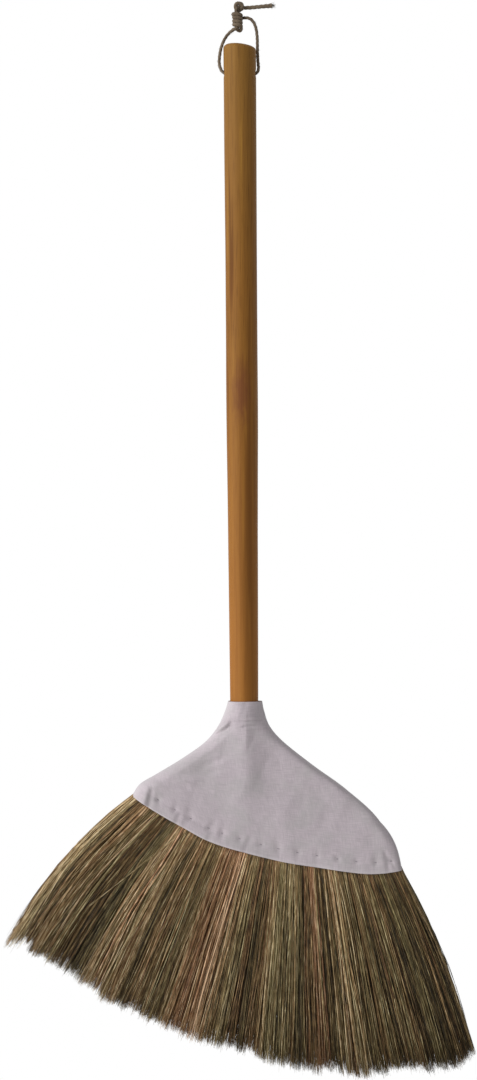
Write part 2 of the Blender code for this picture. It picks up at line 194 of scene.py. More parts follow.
def grid_faces(rows: int, columns: int, round_rows: bool = False, round_columns: bool = False) -> Array:
    """Four-sided faces over a grid of points numbered row by row.

    Args:
        rows: rows of points.
        columns: points in a row.
        round_rows: whether the last row joins the first.
        round_columns: whether each row closes on itself.

    Returns:
        Four point numbers for each face.
    """
    r = np.arange(rows if round_rows else rows - 1)[:, None]
    c = np.arange(columns if round_columns else columns - 1)[None]
    r2, c2 = (r + 1) % rows, (c + 1) % columns
    corners = [r * columns + c, r * columns + c2, r2 * columns + c2, r2 * columns + c]
    return np.stack(corners, axis=-1).reshape(-1, 4)


def tube_faces(rings: int, sides: int) -> tuple[Array, Array, Array]:
    """Faces of a tube of rings, closed at each end by a fan round one more point.

    Args:
        rings: how many rings.
        sides: points in a ring.

    Returns:
        The walls, and the two fans. Their middle points are numbered straight after the rings.
    """
    around = np.arange(sides)
    after = (around + 1) % sides
    last = (rings - 1) * sides
    near = np.stack([np.full(sides, rings * sides), after, around], axis=1)
    far = np.stack([np.full(sides, rings * sides + 1), last + around, last + after], axis=1)
    return grid_faces(rings, sides, round_columns=True), near, far


def make_piece(name: str, points: Array, *groups: Array) -> bpy.types.Object:
    """Puts points and faces into a new smooth piece at the origin, with its faces outward.

    The signed volume under the faces is the sum of each fan triangle's box product over six. Where it
    is negative, every face is turned over.

    Args:
        name: the piece's name.
        points: its points in metres.
        groups: its faces, each group with as many corners a face as it has columns.

    Returns:
        The new object.
    """
    volume = 0.0
    for group in groups:
        corner = points[group]
        for k in range(1, group.shape[1] - 1):
            box = np.cross(corner[:, k], corner[:, k + 1])
            volume += float((corner[:, 0] * box).sum()) / 6
    ordered = [group if volume >= 0 else group[:, ::-1] for group in groups]
    sizes = np.concatenate([np.full(len(group), group.shape[1]) for group in ordered])
    corners = np.concatenate([group.ravel() for group in ordered])
    mesh = bpy.data.meshes.new(name)
    mesh.vertices.add(len(points))
    mesh.vertices.foreach_set("co", np.ascontiguousarray(points, np.float32).ravel())
    mesh.loops.add(len(corners))
    mesh.loops.foreach_set("vertex_index", corners.astype(np.int32))
    mesh.polygons.add(len(sizes))
    mesh.polygons.foreach_set("loop_start", (np.cumsum(sizes) - sizes).astype(np.int32))
    mesh.polygons.foreach_set("use_smooth", np.ones(len(sizes), bool))
    mesh.update(calc_edges=True)
    made = bpy.data.objects.new(name, mesh)
    bpy.context.scene.collection.objects.link(made)
    return made


def mark(made: bpy.types.Object, name: str, values: Array) -> None:
    """Stores a number, or a vector, for each point of a piece, for its material to read.

    Args:
        made: the piece.
        name: the attribute's name.
        values: for each point a number, or three.
    """
    vector = values.ndim == 2
    layer = made.data.attributes.new(name, "FLOAT_VECTOR" if vector else "FLOAT", "POINT")
    layer.data.foreach_set("vector" if vector else "value", np.ascontiguousarray(values, np.float32).ravel())


def smooth_line(route: Array, spacing: float) -> Array:
    """An even line through the points of a route.

    The curve is a centripetal Catmull-Rom: knots are apart by the square root of the distance
    between points, and each span blends three straight runs twice. It is then cut at even lengths.

    Args:
        route: the route's points.
        spacing: the distance between the line's points.

    Returns:
        The line's points.
    """
    p = np.vstack([2 * route[0] - route[1], route, 2 * route[-1] - route[-2]])
    p0, p1, p2, p3 = (p[k : len(p) - 3 + k, None] for k in range(4))
    t1 = np.sqrt(np.linalg.norm(p1 - p0, axis=-1, keepdims=True))
    t2 = t1 + np.sqrt(np.linalg.norm(p2 - p1, axis=-1, keepdims=True))
    t3 = t2 + np.sqrt(np.linalg.norm(p3 - p2, axis=-1, keepdims=True))
    t = t1 + (t2 - t1) * np.linspace(0, 1, 24, endpoint=False)[None, :, None]
    a1 = ((t1 - t) * p0 + t * p1) / t1
    a2 = ((t2 - t) * p1 + (t - t1) * p2) / (t2 - t1)
    a3 = ((t3 - t) * p2 + (t - t2) * p3) / (t3 - t2)
    b1 = ((t2 - t) * a1 + t * a2) / t2
    b2 = ((t3 - t) * a2 + (t - t1) * a3) / (t3 - t1)
    dense = np.vstack([(((t2 - t) * b1 + (t - t1) * b2) / (t2 - t1)).reshape(-1, 3), route[-1:]])
    run = np.concatenate([[0.0], np.cumsum(np.linalg.norm(np.diff(dense, axis=0), axis=1))])
    even = np.linspace(0, run[-1], int(run[-1] / spacing) + 1)
    return np.stack([np.interp(even, run, column) for column in dense.T], axis=1)


def carried_frames(line: Array) -> tuple[Array, Array, Array]:
    """Cross directions carried along a line without turning about it.

    The turn from one tangent to the next is I + K + K^2 / (1 + cos), with K the cross product's
    matrix. The turns are multiplied up by doubling: each pass joins a product to the one before it.

    Args:
        line: the line's points.

    Returns:
        For each point the tangent and two directions across it.
    """
    tangent = unit(np.gradient(line, axis=0))
    x, y, z = np.cross(tangent[:-1], tangent[1:]).T
    cosine = (tangent[:-1] * tangent[1:]).sum(1)[:, None, None]
    zero = np.zeros_like(x)
    k = np.stack([zero, -z, y, z, zero, -x, -y, x, zero], axis=1).reshape(-1, 3, 3)
    turns = np.concatenate([np.eye(3)[None], np.eye(3) + k + k @ k / (1 + cosine)])
    step = 1
    while step < len(turns):
        turns[step:] = turns[step:] @ turns[:-step]
        step *= 2
    start = unit(np.cross(tangent[0], (0.0, 1.0, 0.0)))
    across = unit(turns @ start)
    return tangent, across, np.cross(tangent, across)


def fibre_mesh(paths: Array, radii: Array, roll: Array, sides: int = 3) -> tuple[Array, Array, Array]:
    """Thin rods with few sides along many paths at once.

    A ring's points are the path's point plus the radius times cos and sin of even angles, along two
    directions across the rod's own run from end to end.

    Args:
        paths: rods by rings by three, the rings' centres.
        radii: rods by rings, the rings' radii.
        roll: each rod's turn about its run.
        sides: points in a ring.

    Returns:
        The points, the four-sided faces of the sides, and the end faces.
    """
    rods, rings = radii.shape
    run = unit(paths[:, -1] - paths[:, 0])
    steep = np.abs(run[:, 1:2]) > 0.9
    across = unit(np.cross(run, np.where(steep, (1.0, 0.0, 0.0), (0.0, 1.0, 0.0))))
    other = np.cross(run, across)
    angle = roll[:, None] + np.arange(sides) * 2 * np.pi / sides
    spokes = np.cos(angle)[..., None] * across[:, None] + np.sin(angle)[..., None] * other[:, None]
    points = paths[:, :, None] + radii[:, :, None, None] * spokes[:, None]
    first = (np.arange(rods) * rings * sides)[:, None]
    walls = (first[..., None] + grid_faces(rings, sides, round_columns=True)).reshape(-1, 4)
    near = first + np.arange(sides)[::-1]
    far = first + (rings - 1) * sides + np.arange(sides)
    return points.reshape(-1, 3), walls, np.vstack([near, far])


@dataclass(frozen=True)
class Finish:
    """A finish: its material's name and the shader values that are the same all over it."""

    name: str
    sockets: tuple[tuple[str, float], ...]

    def material(self) -> bpy.types.Material:
        """Makes the material: the even values first, then the pattern that the finish paints.

        Returns:
            The new material.
        """
        made = bpy.data.materials.new(self.name)
        made.use_nodes = True
        shader = made.node_tree.nodes["Principled BSDF"]
        for socket, value in self.sockets:
            shader.inputs[socket].default_value = value
        self.paint(made.node_tree, shader)
        return made

    def paint(self, tree: bpy.types.NodeTree, shader: bpy.types.Node) -> None:
        """Adds the pattern. Each kind of finish has its own."""
        raise NotImplementedError

    def layered(
        self, tree: bpy.types.NodeTree, colour: bpy.types.NodeSocket | str, layers: tuple
    ) -> bpy.types.NodeSocket:
        """Lays paler, darker or stained colours over a colour, one after the other.

        Args:
            tree: the material's nodes.
            colour: the colour beneath, as an output or in hex.
            layers: for each its pattern, the pattern's low and high value, how strong the layer is
                at each of them, and its hex colour.

        Returns:
            The colour on top.
        """
        for *row, paint in layers:
            share = add(tree, "ShaderNodeMapRange", dict(zip(RANGE, row))).outputs[0]
            mix = add(tree, "ShaderNodeMix", {0: share, 6: colour, 7: paint}, data_type="RGBA")
            colour = mix.outputs[2]
        return colour


@dataclass(frozen=True)
class VarnishedWood(Finish):
    """Plantation hardwood turned on a lathe and dipped in clear varnish.

    The varnish deepens it to a golden brown and leaves a thin satin gloss over long, straight grain.
    """

    pale: str = "#A0712F"
    ground: str = "#8A5D27"
    amber: str = "#A66C30"
    olive: str = "#83703A"
    dark: str = "#6C431B"
    heart: str = "#6A3A26"
    bore: str = "#4A3018"
    vessel_width: float = 0.9 * MM
    vessel_length: float = 26 * MM
    band_width: float = 4.5 * MM
    band_length: float = 170 * MM
    stain_place: tuple[float, float, float] = (-0.0052, -0.0150, -0.3600)
    stain_size: tuple[float, float, float] = (0.0090, 0.0140, 0.0310)
    streak_place: tuple[float, float, float] = (0.0010, -0.0140, -0.5000)
    streak_size: tuple[float, float, float] = (0.0070, 0.0140, 0.1900)
    # Size across and along of the pattern that makes the stain's edge ragged.
    ragged: tuple[float, float] = (3 * MM, 12 * MM)
    # How far past the hole's radius the wood is painted darker: fully, and not at all.
    darker_past_hole: tuple[float, float] = (0.2 * MM, 1.4 * MM)

    def paint(self, tree: bpy.types.NodeTree, shader: bpy.types.Node) -> None:
        """Bands along the pole, fine dark vessels, a long streak, a reddish stain, and darker wood in and
        round the hole.

        It is also riper in its lower half and a little greener near its top.

        Args:
            tree: the material's nodes.
            shader: its surface shader.
        """
        place = add(tree, "ShaderNodeTexCoord").outputs["Object"]
        height = add(tree, "ShaderNodeSeparateXYZ", {"Vector": place}).outputs["Z"]

        def grain(width: float, length: float, **more: float) -> bpy.types.NodeSocket:
            """Noise whose features are this wide and this long.

            Args:
                width: their size across the pole.
                length: their size along it.
                more: the noise's other values.

            Returns:
                The noise.
            """
            scale = (1 / width, 1 / width, 1 / length)
            spot = add(tree, "ShaderNodeMapping", {"Vector": place, "Scale": scale}).outputs[0]
            return add(tree, "ShaderNodeTexNoise", {"Vector": spot, "Scale": 1.0, **more}).outputs["Fac"]

        def patch(
            middle: tuple[float, ...], size: tuple[float, ...], edge: bpy.types.NodeSocket
        ) -> bpy.types.NodeSocket:
            """The distance from a patch's middle in patch sizes, plus a pattern that frays its edge.

            Args:
                middle: the patch's middle.
                size: its size along each axis.
                edge: the pattern.

            Returns:
                The frayed distance.
            """
            shift = tuple(-c / s for c, s in zip(middle, size))
            feeds = {"Vector": place, "Location": shift, "Scale": tuple(1 / s for s in size)}
            near = add(tree, "ShaderNodeMapping", feeds).outputs[0]
            reach = add(tree, "ShaderNodeVectorMath", {0: near}, operation="LENGTH").outputs["Value"]
            return add(tree, "ShaderNodeMath", {0: reach, 1: edge}, operation="ADD").outputs[0]

        bands = grain(self.band_width, self.band_length, Detail=3.0, Distortion=0.6)
        vessels = grain(self.vessel_width, self.vessel_length, Detail=2.0)
        wavy = grain(*self.ragged, Detail=2.0)
        feeds = {"Vector": place, "Location": (0.0, 0.0, -HOLE_HEIGHT), "Scale": (0.0, 1.0, 1.0)}
        beside = add(tree, "ShaderNodeMapping", feeds).outputs[0]
        off = add(tree, "ShaderNodeVectorMath", {0: beside}, operation="LENGTH").outputs["Value"]
        stops = ((0.30, self.dark), (0.46, self.ground), (0.58, self.ground), (0.72, self.pale))
        tint = add(tree, "ShaderNodeValToRGB", {"Fac": bands}, stops=stops)
        layers = (
            (vessels, 0.52, 0.70, 0.0, 0.55, self.dark),
            (height, -0.60, -0.30, 0.6, 0.0, self.amber),
            (height, -0.26, -0.04, 0.0, 0.20, self.olive),
            (patch(self.streak_place, self.streak_size, bands), 0.8, 1.7, 0.75, 0.0, self.dark),
            (patch(self.stain_place, self.stain_size, wavy), 0.9, 1.7, 0.62, 0.0, self.heart),
            (off, HOLE_RADIUS + self.darker_past_hole[0], HOLE_RADIUS + self.darker_past_hole[1], 0.85, 0.0, self.bore),
        )
        whole = self.layered(tree, tint.outputs[0], layers)
        gloss = add(tree, "ShaderNodeMapRange", dict(zip(RANGE, (bands, 0.3, 0.7, 0.60, 0.48))))
        bump = add(tree, "ShaderNodeBump", {"Height": vessels, "Strength": 0.35, "Distance": 0.15 * MM})
        tree.links.new(whole, shader.inputs["Base Color"])
        tree.links.new(gloss.outputs[0], shader.inputs["Roughness"])
        tree.links.new(bump.outputs[0], shader.inputs["Normal"])


@dataclass(frozen=True)
class Calico(Finish):
    """Unbleached-to-white plain-woven cotton, sewn into a sleeve and never ironed.

    It is matt, takes soft shadows, shows its weave as a faint check, picks up a little dust, and has painted
    light: a paler colour along its side seams and its hem's edge.
    """

    ground: str = "#C2B7BD"
    thin: str = "#ACA3A8"
    dust: str = "#A5A6A2"
    # A paler colour painted on as light: along the side seams against the shade there, and as a highlight
    # along the hem's edge.
    painted_edge_light: str = "#DAD4D7"
    # Calico has about 25 threads to the centimetre.
    thread: float = 0.4 * MM
    # A wave texture's scale times the distance between its waves.
    wave: float = 0.314
    cloud: float = 22 * MM

    def paint(self, tree: bpy.types.NodeTree, shader: bpy.types.Node) -> None:
        """The weave from two crossed waves, slubs along the threads, faint clouds of dust, and a paler
        colour painted along the side seams and the hem's edge as painted light.

        Args:
            tree: the material's nodes.
            shader: its surface shader.
        """
        cloth = add(tree, "ShaderNodeAttribute", attribute_name="cloth").outputs["Vector"]
        place = add(tree, "ShaderNodeTexCoord").outputs["Object"]
        feeds = {"Vector": cloth, "Scale": self.wave / self.thread, "Distortion": 0.5, "Detail": 1.0}
        waves = [add(tree, "ShaderNodeTexWave", feeds, bands_direction=way).outputs["Fac"] for way in "XY"]
        weave = add(tree, "ShaderNodeMath", {0: waves[0], 1: waves[1]}, operation="MULTIPLY")
        slubs = []
        for scale in ((90.0, 1300.0, 1.0), (1300.0, 90.0, 1.0)):
            spot = add(tree, "ShaderNodeMapping", {"Vector": cloth, "Scale": scale}).outputs[0]
            noise = add(tree, "ShaderNodeTexNoise", {"Vector": spot, "Scale": 1.0, "Detail": 2.0})
            slubs.append(noise.outputs["Fac"])
        slub = add(tree, "ShaderNodeMath", {0: slubs[0], 1: slubs[1]}, operation="MULTIPLY")
        feeds = {"Vector": place, "Scale": 1 / self.cloud, "Detail": 5.0, "Roughness": 0.6}
        clouds = add(tree, "ShaderNodeTexNoise", feeds)
        layers = (
            (slub.outputs[0], 0.16, 0.36, 0.75, 0.0, self.thin),
            (clouds.outputs["Fac"], 0.44, 0.70, 0.0, 0.4, self.dust),
        )
        clouded = self.layered(tree, self.ground, layers)
        # How much of the paler colour is painted on at each point: painted light along the seams and the
        # hem's edge.
        painted_light = add(tree, "ShaderNodeAttribute", attribute_name="painted_light").outputs["Fac"]
        whole = add(tree, "ShaderNodeMix", {0: painted_light, 6: clouded, 7: self.painted_edge_light}, data_type="RGBA")
        height = add(tree, "ShaderNodeMath", {0: weave.outputs[0], 1: slub.outputs[0]}, operation="ADD")
        feeds = {"Height": height.outputs[0], "Strength": 0.3, "Distance": 0.06 * MM}
        bump = add(tree, "ShaderNodeBump", feeds)
        tree.links.new(whole.outputs[2], shader.inputs["Base Color"])
        tree.links.new(bump.outputs[0], shader.inputs["Normal"])


@dataclass(frozen=True)
class Twine(Finish):
    """Laid twine of bast or cotton fibre, undyed and grimy from hands: dull, hairy, grey-brown."""

    pale: str = "#847562"
    dark: str = "#554636"
    speck: float = 0.7 * MM
    # Patches of grime to the metre.
    grime: float = 60.0

    def paint(self, tree: bpy.types.NodeTree, shader: bpy.types.Node) -> None:
        """Specks about as long as the fibre ends that lie on the twine.

        Args:
            tree: the material's nodes.
            shader: its surface shader.
        """
        place = add(tree, "ShaderNodeTexCoord").outputs["Object"]
        feeds = ({"Scale": 1 / self.speck, "Detail": 3.0}, {"Scale": self.grime, "Detail": 2.0})
        specks, grime = (
            add(tree, "ShaderNodeTexNoise", {"Vector": place, **feed}).outputs["Fac"] for feed in feeds
        )
        both = add(tree, "ShaderNodeMath", {0: specks, 1: grime}, operation="MULTIPLY").outputs[0]
        tint = add(tree, "ShaderNodeValToRGB", {"Fac": both}, stops=((0.12, self.dark), (0.40, self.pale)))
        bump = add(tree, "ShaderNodeBump", {"Height": specks, "Strength": 0.6, "Distance": 0.2 * MM})
        tree.links.new(tint.outputs[0], shader.inputs["Base Color"])
        tree.links.new(bump.outputs[0], shader.inputs["Normal"])


@dataclass(frozen=True)
class DriedGrass(Finish):
    """Dried flower stems of broom grass: thin, slightly waxy, from moss green over tan to russet."""

    moss: tuple[str, ...] = ("#251D05", "#625532", "#938459", "#D6C798")
    tan: tuple[str, ...] = ("#2F1F02", "#745A35", "#A98B5F", "#E8D0A6")
    russet: tuple[str, ...] = ("#321A04", "#7A5233", "#AE805B", "#E4BE98")
    warmth: float = 0.0
    fleck: float = 9 * MM
    # The tone about which the flecks grow starker.
    level: float = 0.42
    # The way through the flecks' pattern from tone 0 to tone 1, in metres.
    apart: float = 60.0

    def paint(self, tree: bpy.types.NodeTree, shader: bpy.types.Node) -> None:
        """Each stem's own tone and hue from its attributes, with flecks along it.

        It has painted shade under the hem, and is painted starker and darker towards the tip, for the deeper
        shade between the tufts there.

        Args:
            tree: the material's nodes.
            shader: its surface shader.
        """
        tone, hue, along = (
            add(tree, "ShaderNodeAttribute", attribute_name=name).outputs["Fac"]
            for name in ("tone", "hue", "along")
        )
        place = add(tree, "ShaderNodeTexCoord").outputs["Object"]
        own = add(tree, "ShaderNodeMath", {0: tone, 1: self.apart}, operation="MULTIPLY").outputs[0]
        feeds = {"Vector": place, "W": own, "Scale": 1 / self.fleck, "Detail": 2.0}
        flecks = add(tree, "ShaderNodeTexNoise", feeds, noise_dimensions="4D").outputs["Fac"]
        # Painted shade: the first row darkens the straws just under the hem, and the third and fourth make
        # them darker and starker towards the tip.
        rows = (
            (along, 0.11, 0.19, -0.14, 0.0),
            (flecks, 0.3, 0.7, -0.28, 0.28),
            (along, 0.3, 1.0, self.level, 0.38),
            (along, 0.2, 0.9, 1.0, 1.30),
            (along, 0.0, 0.45, self.warmth + 0.10, self.warmth - 0.03),
        )
        shaded, spread, tip, gain, redder = (
            add(tree, "ShaderNodeMapRange", dict(zip(RANGE, row))).outputs[0] for row in rows
        )
        base = add(tree, "ShaderNodeMath", {0: tone, 1: shaded}, operation="ADD").outputs[0]
        mottled = add(tree, "ShaderNodeMath", {0: base, 1: spread}, operation="ADD").outputs[0]
        off = add(tree, "ShaderNodeMath", {0: mottled, 1: self.level}, operation="SUBTRACT").outputs[0]
        final = add(tree, "ShaderNodeMath", {0: off, 1: gain, 2: tip}, operation="MULTIPLY_ADD").outputs[0]
        colours = []
        for ramp in (self.moss, self.tan, self.russet):
            stops = tuple(zip((0.0, 0.35, 0.68, 1.0), ramp))
            colours.append(add(tree, "ShaderNodeValToRGB", {"Fac": final}, stops=stops).outputs[0])
        leaning = add(tree, "ShaderNodeMath", {0: hue, 1: redder}, operation="ADD").outputs[0]
        whole = colours[0]
        for colour, low, high in ((colours[1], 0.1, 0.5), (colours[2], 0.5, 0.95)):
            feeds = {"Value": leaning, "From Min": low, "From Max": high}
            share = add(tree, "ShaderNodeMapRange", feeds).outputs[0]
            whole = add(tree, "ShaderNodeMix", {0: share, 6: whole, 7: colour}, data_type="RGBA").outputs[2]
        tree.links.new(whole, shader.inputs["Base Color"])


@dataclass(frozen=True)
class Head:
    """The flat, fan-shaped head that the cover wraps and the straw fills."""

    # Outline of the cover: left x, left z, right x, right z, from the collar to the hem.
    ribs: tuple = (
        (-0.0190, -0.6590, 0.0143, -0.6590),
        (-0.0215, -0.6675, 0.0160, -0.6675),
        (-0.0285, -0.6827, 0.0215, -0.6827),
        (-0.0411, -0.6982, 0.0353, -0.6985),
        (-0.0640, -0.7145, 0.0643, -0.7214),
        (-0.0880, -0.7290, 0.0962, -0.7446),
        (-0.1038, -0.7385, 0.1285, -0.7755),
        (-0.1113, -0.7491, 0.1492, -0.8206),
    )
    half_depth: tuple = (0.0153, 0.0156, 0.0156, 0.0152, 0.0148, 0.0146, 0.0144, 0.0142)
    # Hem x and z, and straw tip x and z, from left to right.
    fan: tuple = (
        (-0.1113, -0.7491, -0.2331, -0.8922),
        (-0.0856, -0.7654, -0.1995, -0.9128),
        (-0.0609, -0.7793, -0.1518, -0.9403),
        (-0.0386, -0.7912, -0.1112, -0.9629),
        (-0.0104, -0.8006, -0.0647, -0.9817),
        (0.0338, -0.8117, 0.0180, -1.0044),
        (0.0695, -0.8174, 0.0880, -1.0153),
        (0.1073, -0.8228, 0.1570, -1.0156),
        (0.1281, -0.8232, 0.1890, -1.0113),
        (0.1492, -0.8206, 0.2184, -0.9970),
    )
    # The share of the height from which the rows bend towards the hem's curve.
    sag_from: float = 0.45
    # How far the right side swells between its last two rows.
    swell: float = 3.6 * MM
    ridge_height: float = 3.4 * MM
    # The sides are round at the neck, and a superellipse whose power is this much higher below it.
    squarer: float = 1.4
    # How far the faces are arched from side to side.
    camber: float = 2.2 * MM
    ridge_width: float = 13 * MM
    # How far past the pole's end the ridge begins to sink, and over what height it does.
    ridge_past: float = 2 * MM
    ridge_run: float = 40 * MM
    handle_top: tuple[float, float] = (-0.0076, -0.0230)
    handle_end: tuple[float, float] = (-0.0026, -0.7446)
    handle_heights: tuple = (-0.7446, -0.655, -0.400, -0.0230)
    handle_radii: tuple = (0.0130, 0.0136, 0.0150, 0.0158)

    def handle_axis(self, z: Array) -> Array:
        """X of the pole's centre line at a height, on the straight line from its top to its end."""
        share = (self.handle_top[1] - z) / (self.handle_top[1] - self.handle_end[1])
        return self.handle_top[0] + (self.handle_end[0] - self.handle_top[0]) * share

    def pole_depth(self, x: Array, z: Array) -> Array:
        """How far the pole reaches to the front and back at these places, 0 where it isn't.

        Args:
            x: places across.
            z: places up.

        Returns:
            sqrt(radius^2 - (x - axis)^2) between the pole's two ends.
        """
        reach = self.handle_radius(z) ** 2 - (x - self.handle_axis(z)) ** 2
        along = (z < self.handle_top[1]) & (z > self.handle_end[1])
        return np.sqrt(np.clip(reach, 0.0, None)) * along

    def handle_radius(self, z: Array) -> Array:
        """The pole's radius at a height, straight between its measured heights."""
        return np.interp(z, self.handle_heights, self.handle_radii)

    def outline(self, v: Array, inset: float) -> tuple[Array, Array]:
        """The cover's two side points at a share of its height, moved inward.

        Each side's points move along the normal of the line through them, and the smooth curve
        then runs through the moved points.

        Args:
            v: shares of the height, 0 at the collar and 1 at the hem.
            inset: how far inward.

        Returns:
            Left and right points, x and z.
        """
        table = np.array(self.ribs)
        sides = []
        for points, inward in ((table[:, :2], 1.0), (table[:, 2:], -1.0)):
            along = unit(np.gradient(points, axis=0))
            normal = np.stack([-along[:, 1], along[:, 0]], axis=1)
            normal *= (np.sign(normal[:, 0]) * inward)[:, None]
            sides.append(through(points + normal * inset, v))
        last = np.clip(v * (len(table) - 1) - (len(table) - 2), 0.0, 1.0)
        sides[1][..., 0] += self.swell * np.sin(np.pi * last)
        return sides[0], sides[1]

    def fan_places(self, u: Array) -> tuple[Array, Array]:
        """The hem's point and the straw tips' point at a share of the hem's length.

        Args:
            u: shares of the hem's length from the left.

        Returns:
            Points on the hem and at the tips, x and z.
        """
        table = np.array(self.fan)
        run = np.concatenate([[0.0], np.cumsum(np.linalg.norm(np.diff(table[:, :2], axis=0), axis=1))])
        number = np.interp(u, run / run[-1], np.arange(len(table))) / (len(table) - 1)
        place = through(table, number)
        return place[..., :2], place[..., 2:]

    def sag(self, u: Array, v: Array) -> Array:
        """How far the rows bend from straight lines.

        It grows with the square of the way down, up to the hem's own curve.

        Args:
            u: shares from the left outline to the right one.
            v: shares from the collar to the hem.

        Returns:
            The shift in x and z.
        """
        ends = np.array(self.ribs[-1])
        straight = ends[:2] + (ends[2:] - ends[:2]) * u[..., None]
        grown = np.clip((v - self.sag_from) / (1 - self.sag_from), 0.0, None) ** 2
        return grown[..., None] * (self.fan_places(u)[0] - straight)

    def place(self, u: Array, v: Array, inset: float) -> tuple[Array, Array, Array]:
        """A point of the head and its half depth.

        Across, the depth is that of a flat slab with rounded sides, flat (1 - (1 - t)^p)^(1/p) over
        t from 0 to 1. A soft Gaussian ridge is added, which the pole raises down to its end.

        Args:
            u: shares from the left outline to the right one.
            v: shares from the collar to the hem.
            inset: how far under the outer face of the cloth.

        Returns:
            x, z and the half depth.
        """
        u, v = np.broadcast_arrays(np.asarray(u, float), np.asarray(v, float))
        left, right = self.outline(v, inset)
        flat = through(np.array(self.half_depth)[:, None], v)[..., 0] - inset
        width = np.linalg.norm(right - left, axis=-1)
        spot = left + (right - left) * u[..., None] + self.sag(u, v)
        x, z = spot[..., 0], spot[..., 1]
        corner = np.minimum(width / 2, flat)
        below = ease(0.15, 0.5, v)
        t = np.minimum(1.0, np.minimum(u, 1 - u) * width / corner)
        flat = flat + self.camber * (1 - (2 * u - 1) ** 2) * below
        power = 2 + self.squarer * below * ease(0.2, 0.8, u)
        slab = flat * np.clip(1 - (1 - t) ** power, 0.0, 1.0) ** (1 / power)
        past_end = np.clip((self.handle_end[1] - self.ridge_past - z) / self.ridge_run, 0.0, 1.0)
        aside = (x - self.handle_axis(z)) / self.ridge_width
        fall = (1 - past_end**2) * (1 - 0.3 * ease(0.4, 0.6, v))
        ridge = self.ridge_height * np.exp(-(aside**2)) * ease(0.0, 0.25, v) * fall
        return x, z, slab + ridge * ease(0.0, 1.0, t)


@dataclass(frozen=True)
class Crease:
    """A crease in the cloth: a groove between two places, x and z, with a soft ridge on one side."""

    start: tuple[float, float]
    end: tuple[float, float]
    depth: float
    width: float
    ridge: float = 0.6

    def height(self, x: Array, z: Array) -> Array:
        """Minus a Gaussian across the fold plus a lower one beside it, faded past both ends.

        Args:
            x: places across.
            z: places up.

        Returns:
            The height at each place.
        """
        run = np.array(self.end) - np.array(self.start)
        length = float(np.linalg.norm(run))
        dx, dz = x - self.start[0], z - self.start[1]
        along = (dx * run[0] + dz * run[1]) / length
        aside = (dx * run[1] - dz * run[0]) / length
        past = along - np.clip(along, 0.0, length)
        fade = np.exp(-((past / (1.6 * self.width)) ** 2))
        groove = np.exp(-((aside / self.width) ** 2))
        beside = np.exp(-(((aside - 1.9 * self.width) / (1.1 * self.width)) ** 2))
        return self.depth * fade * (self.ridge * beside - groove)


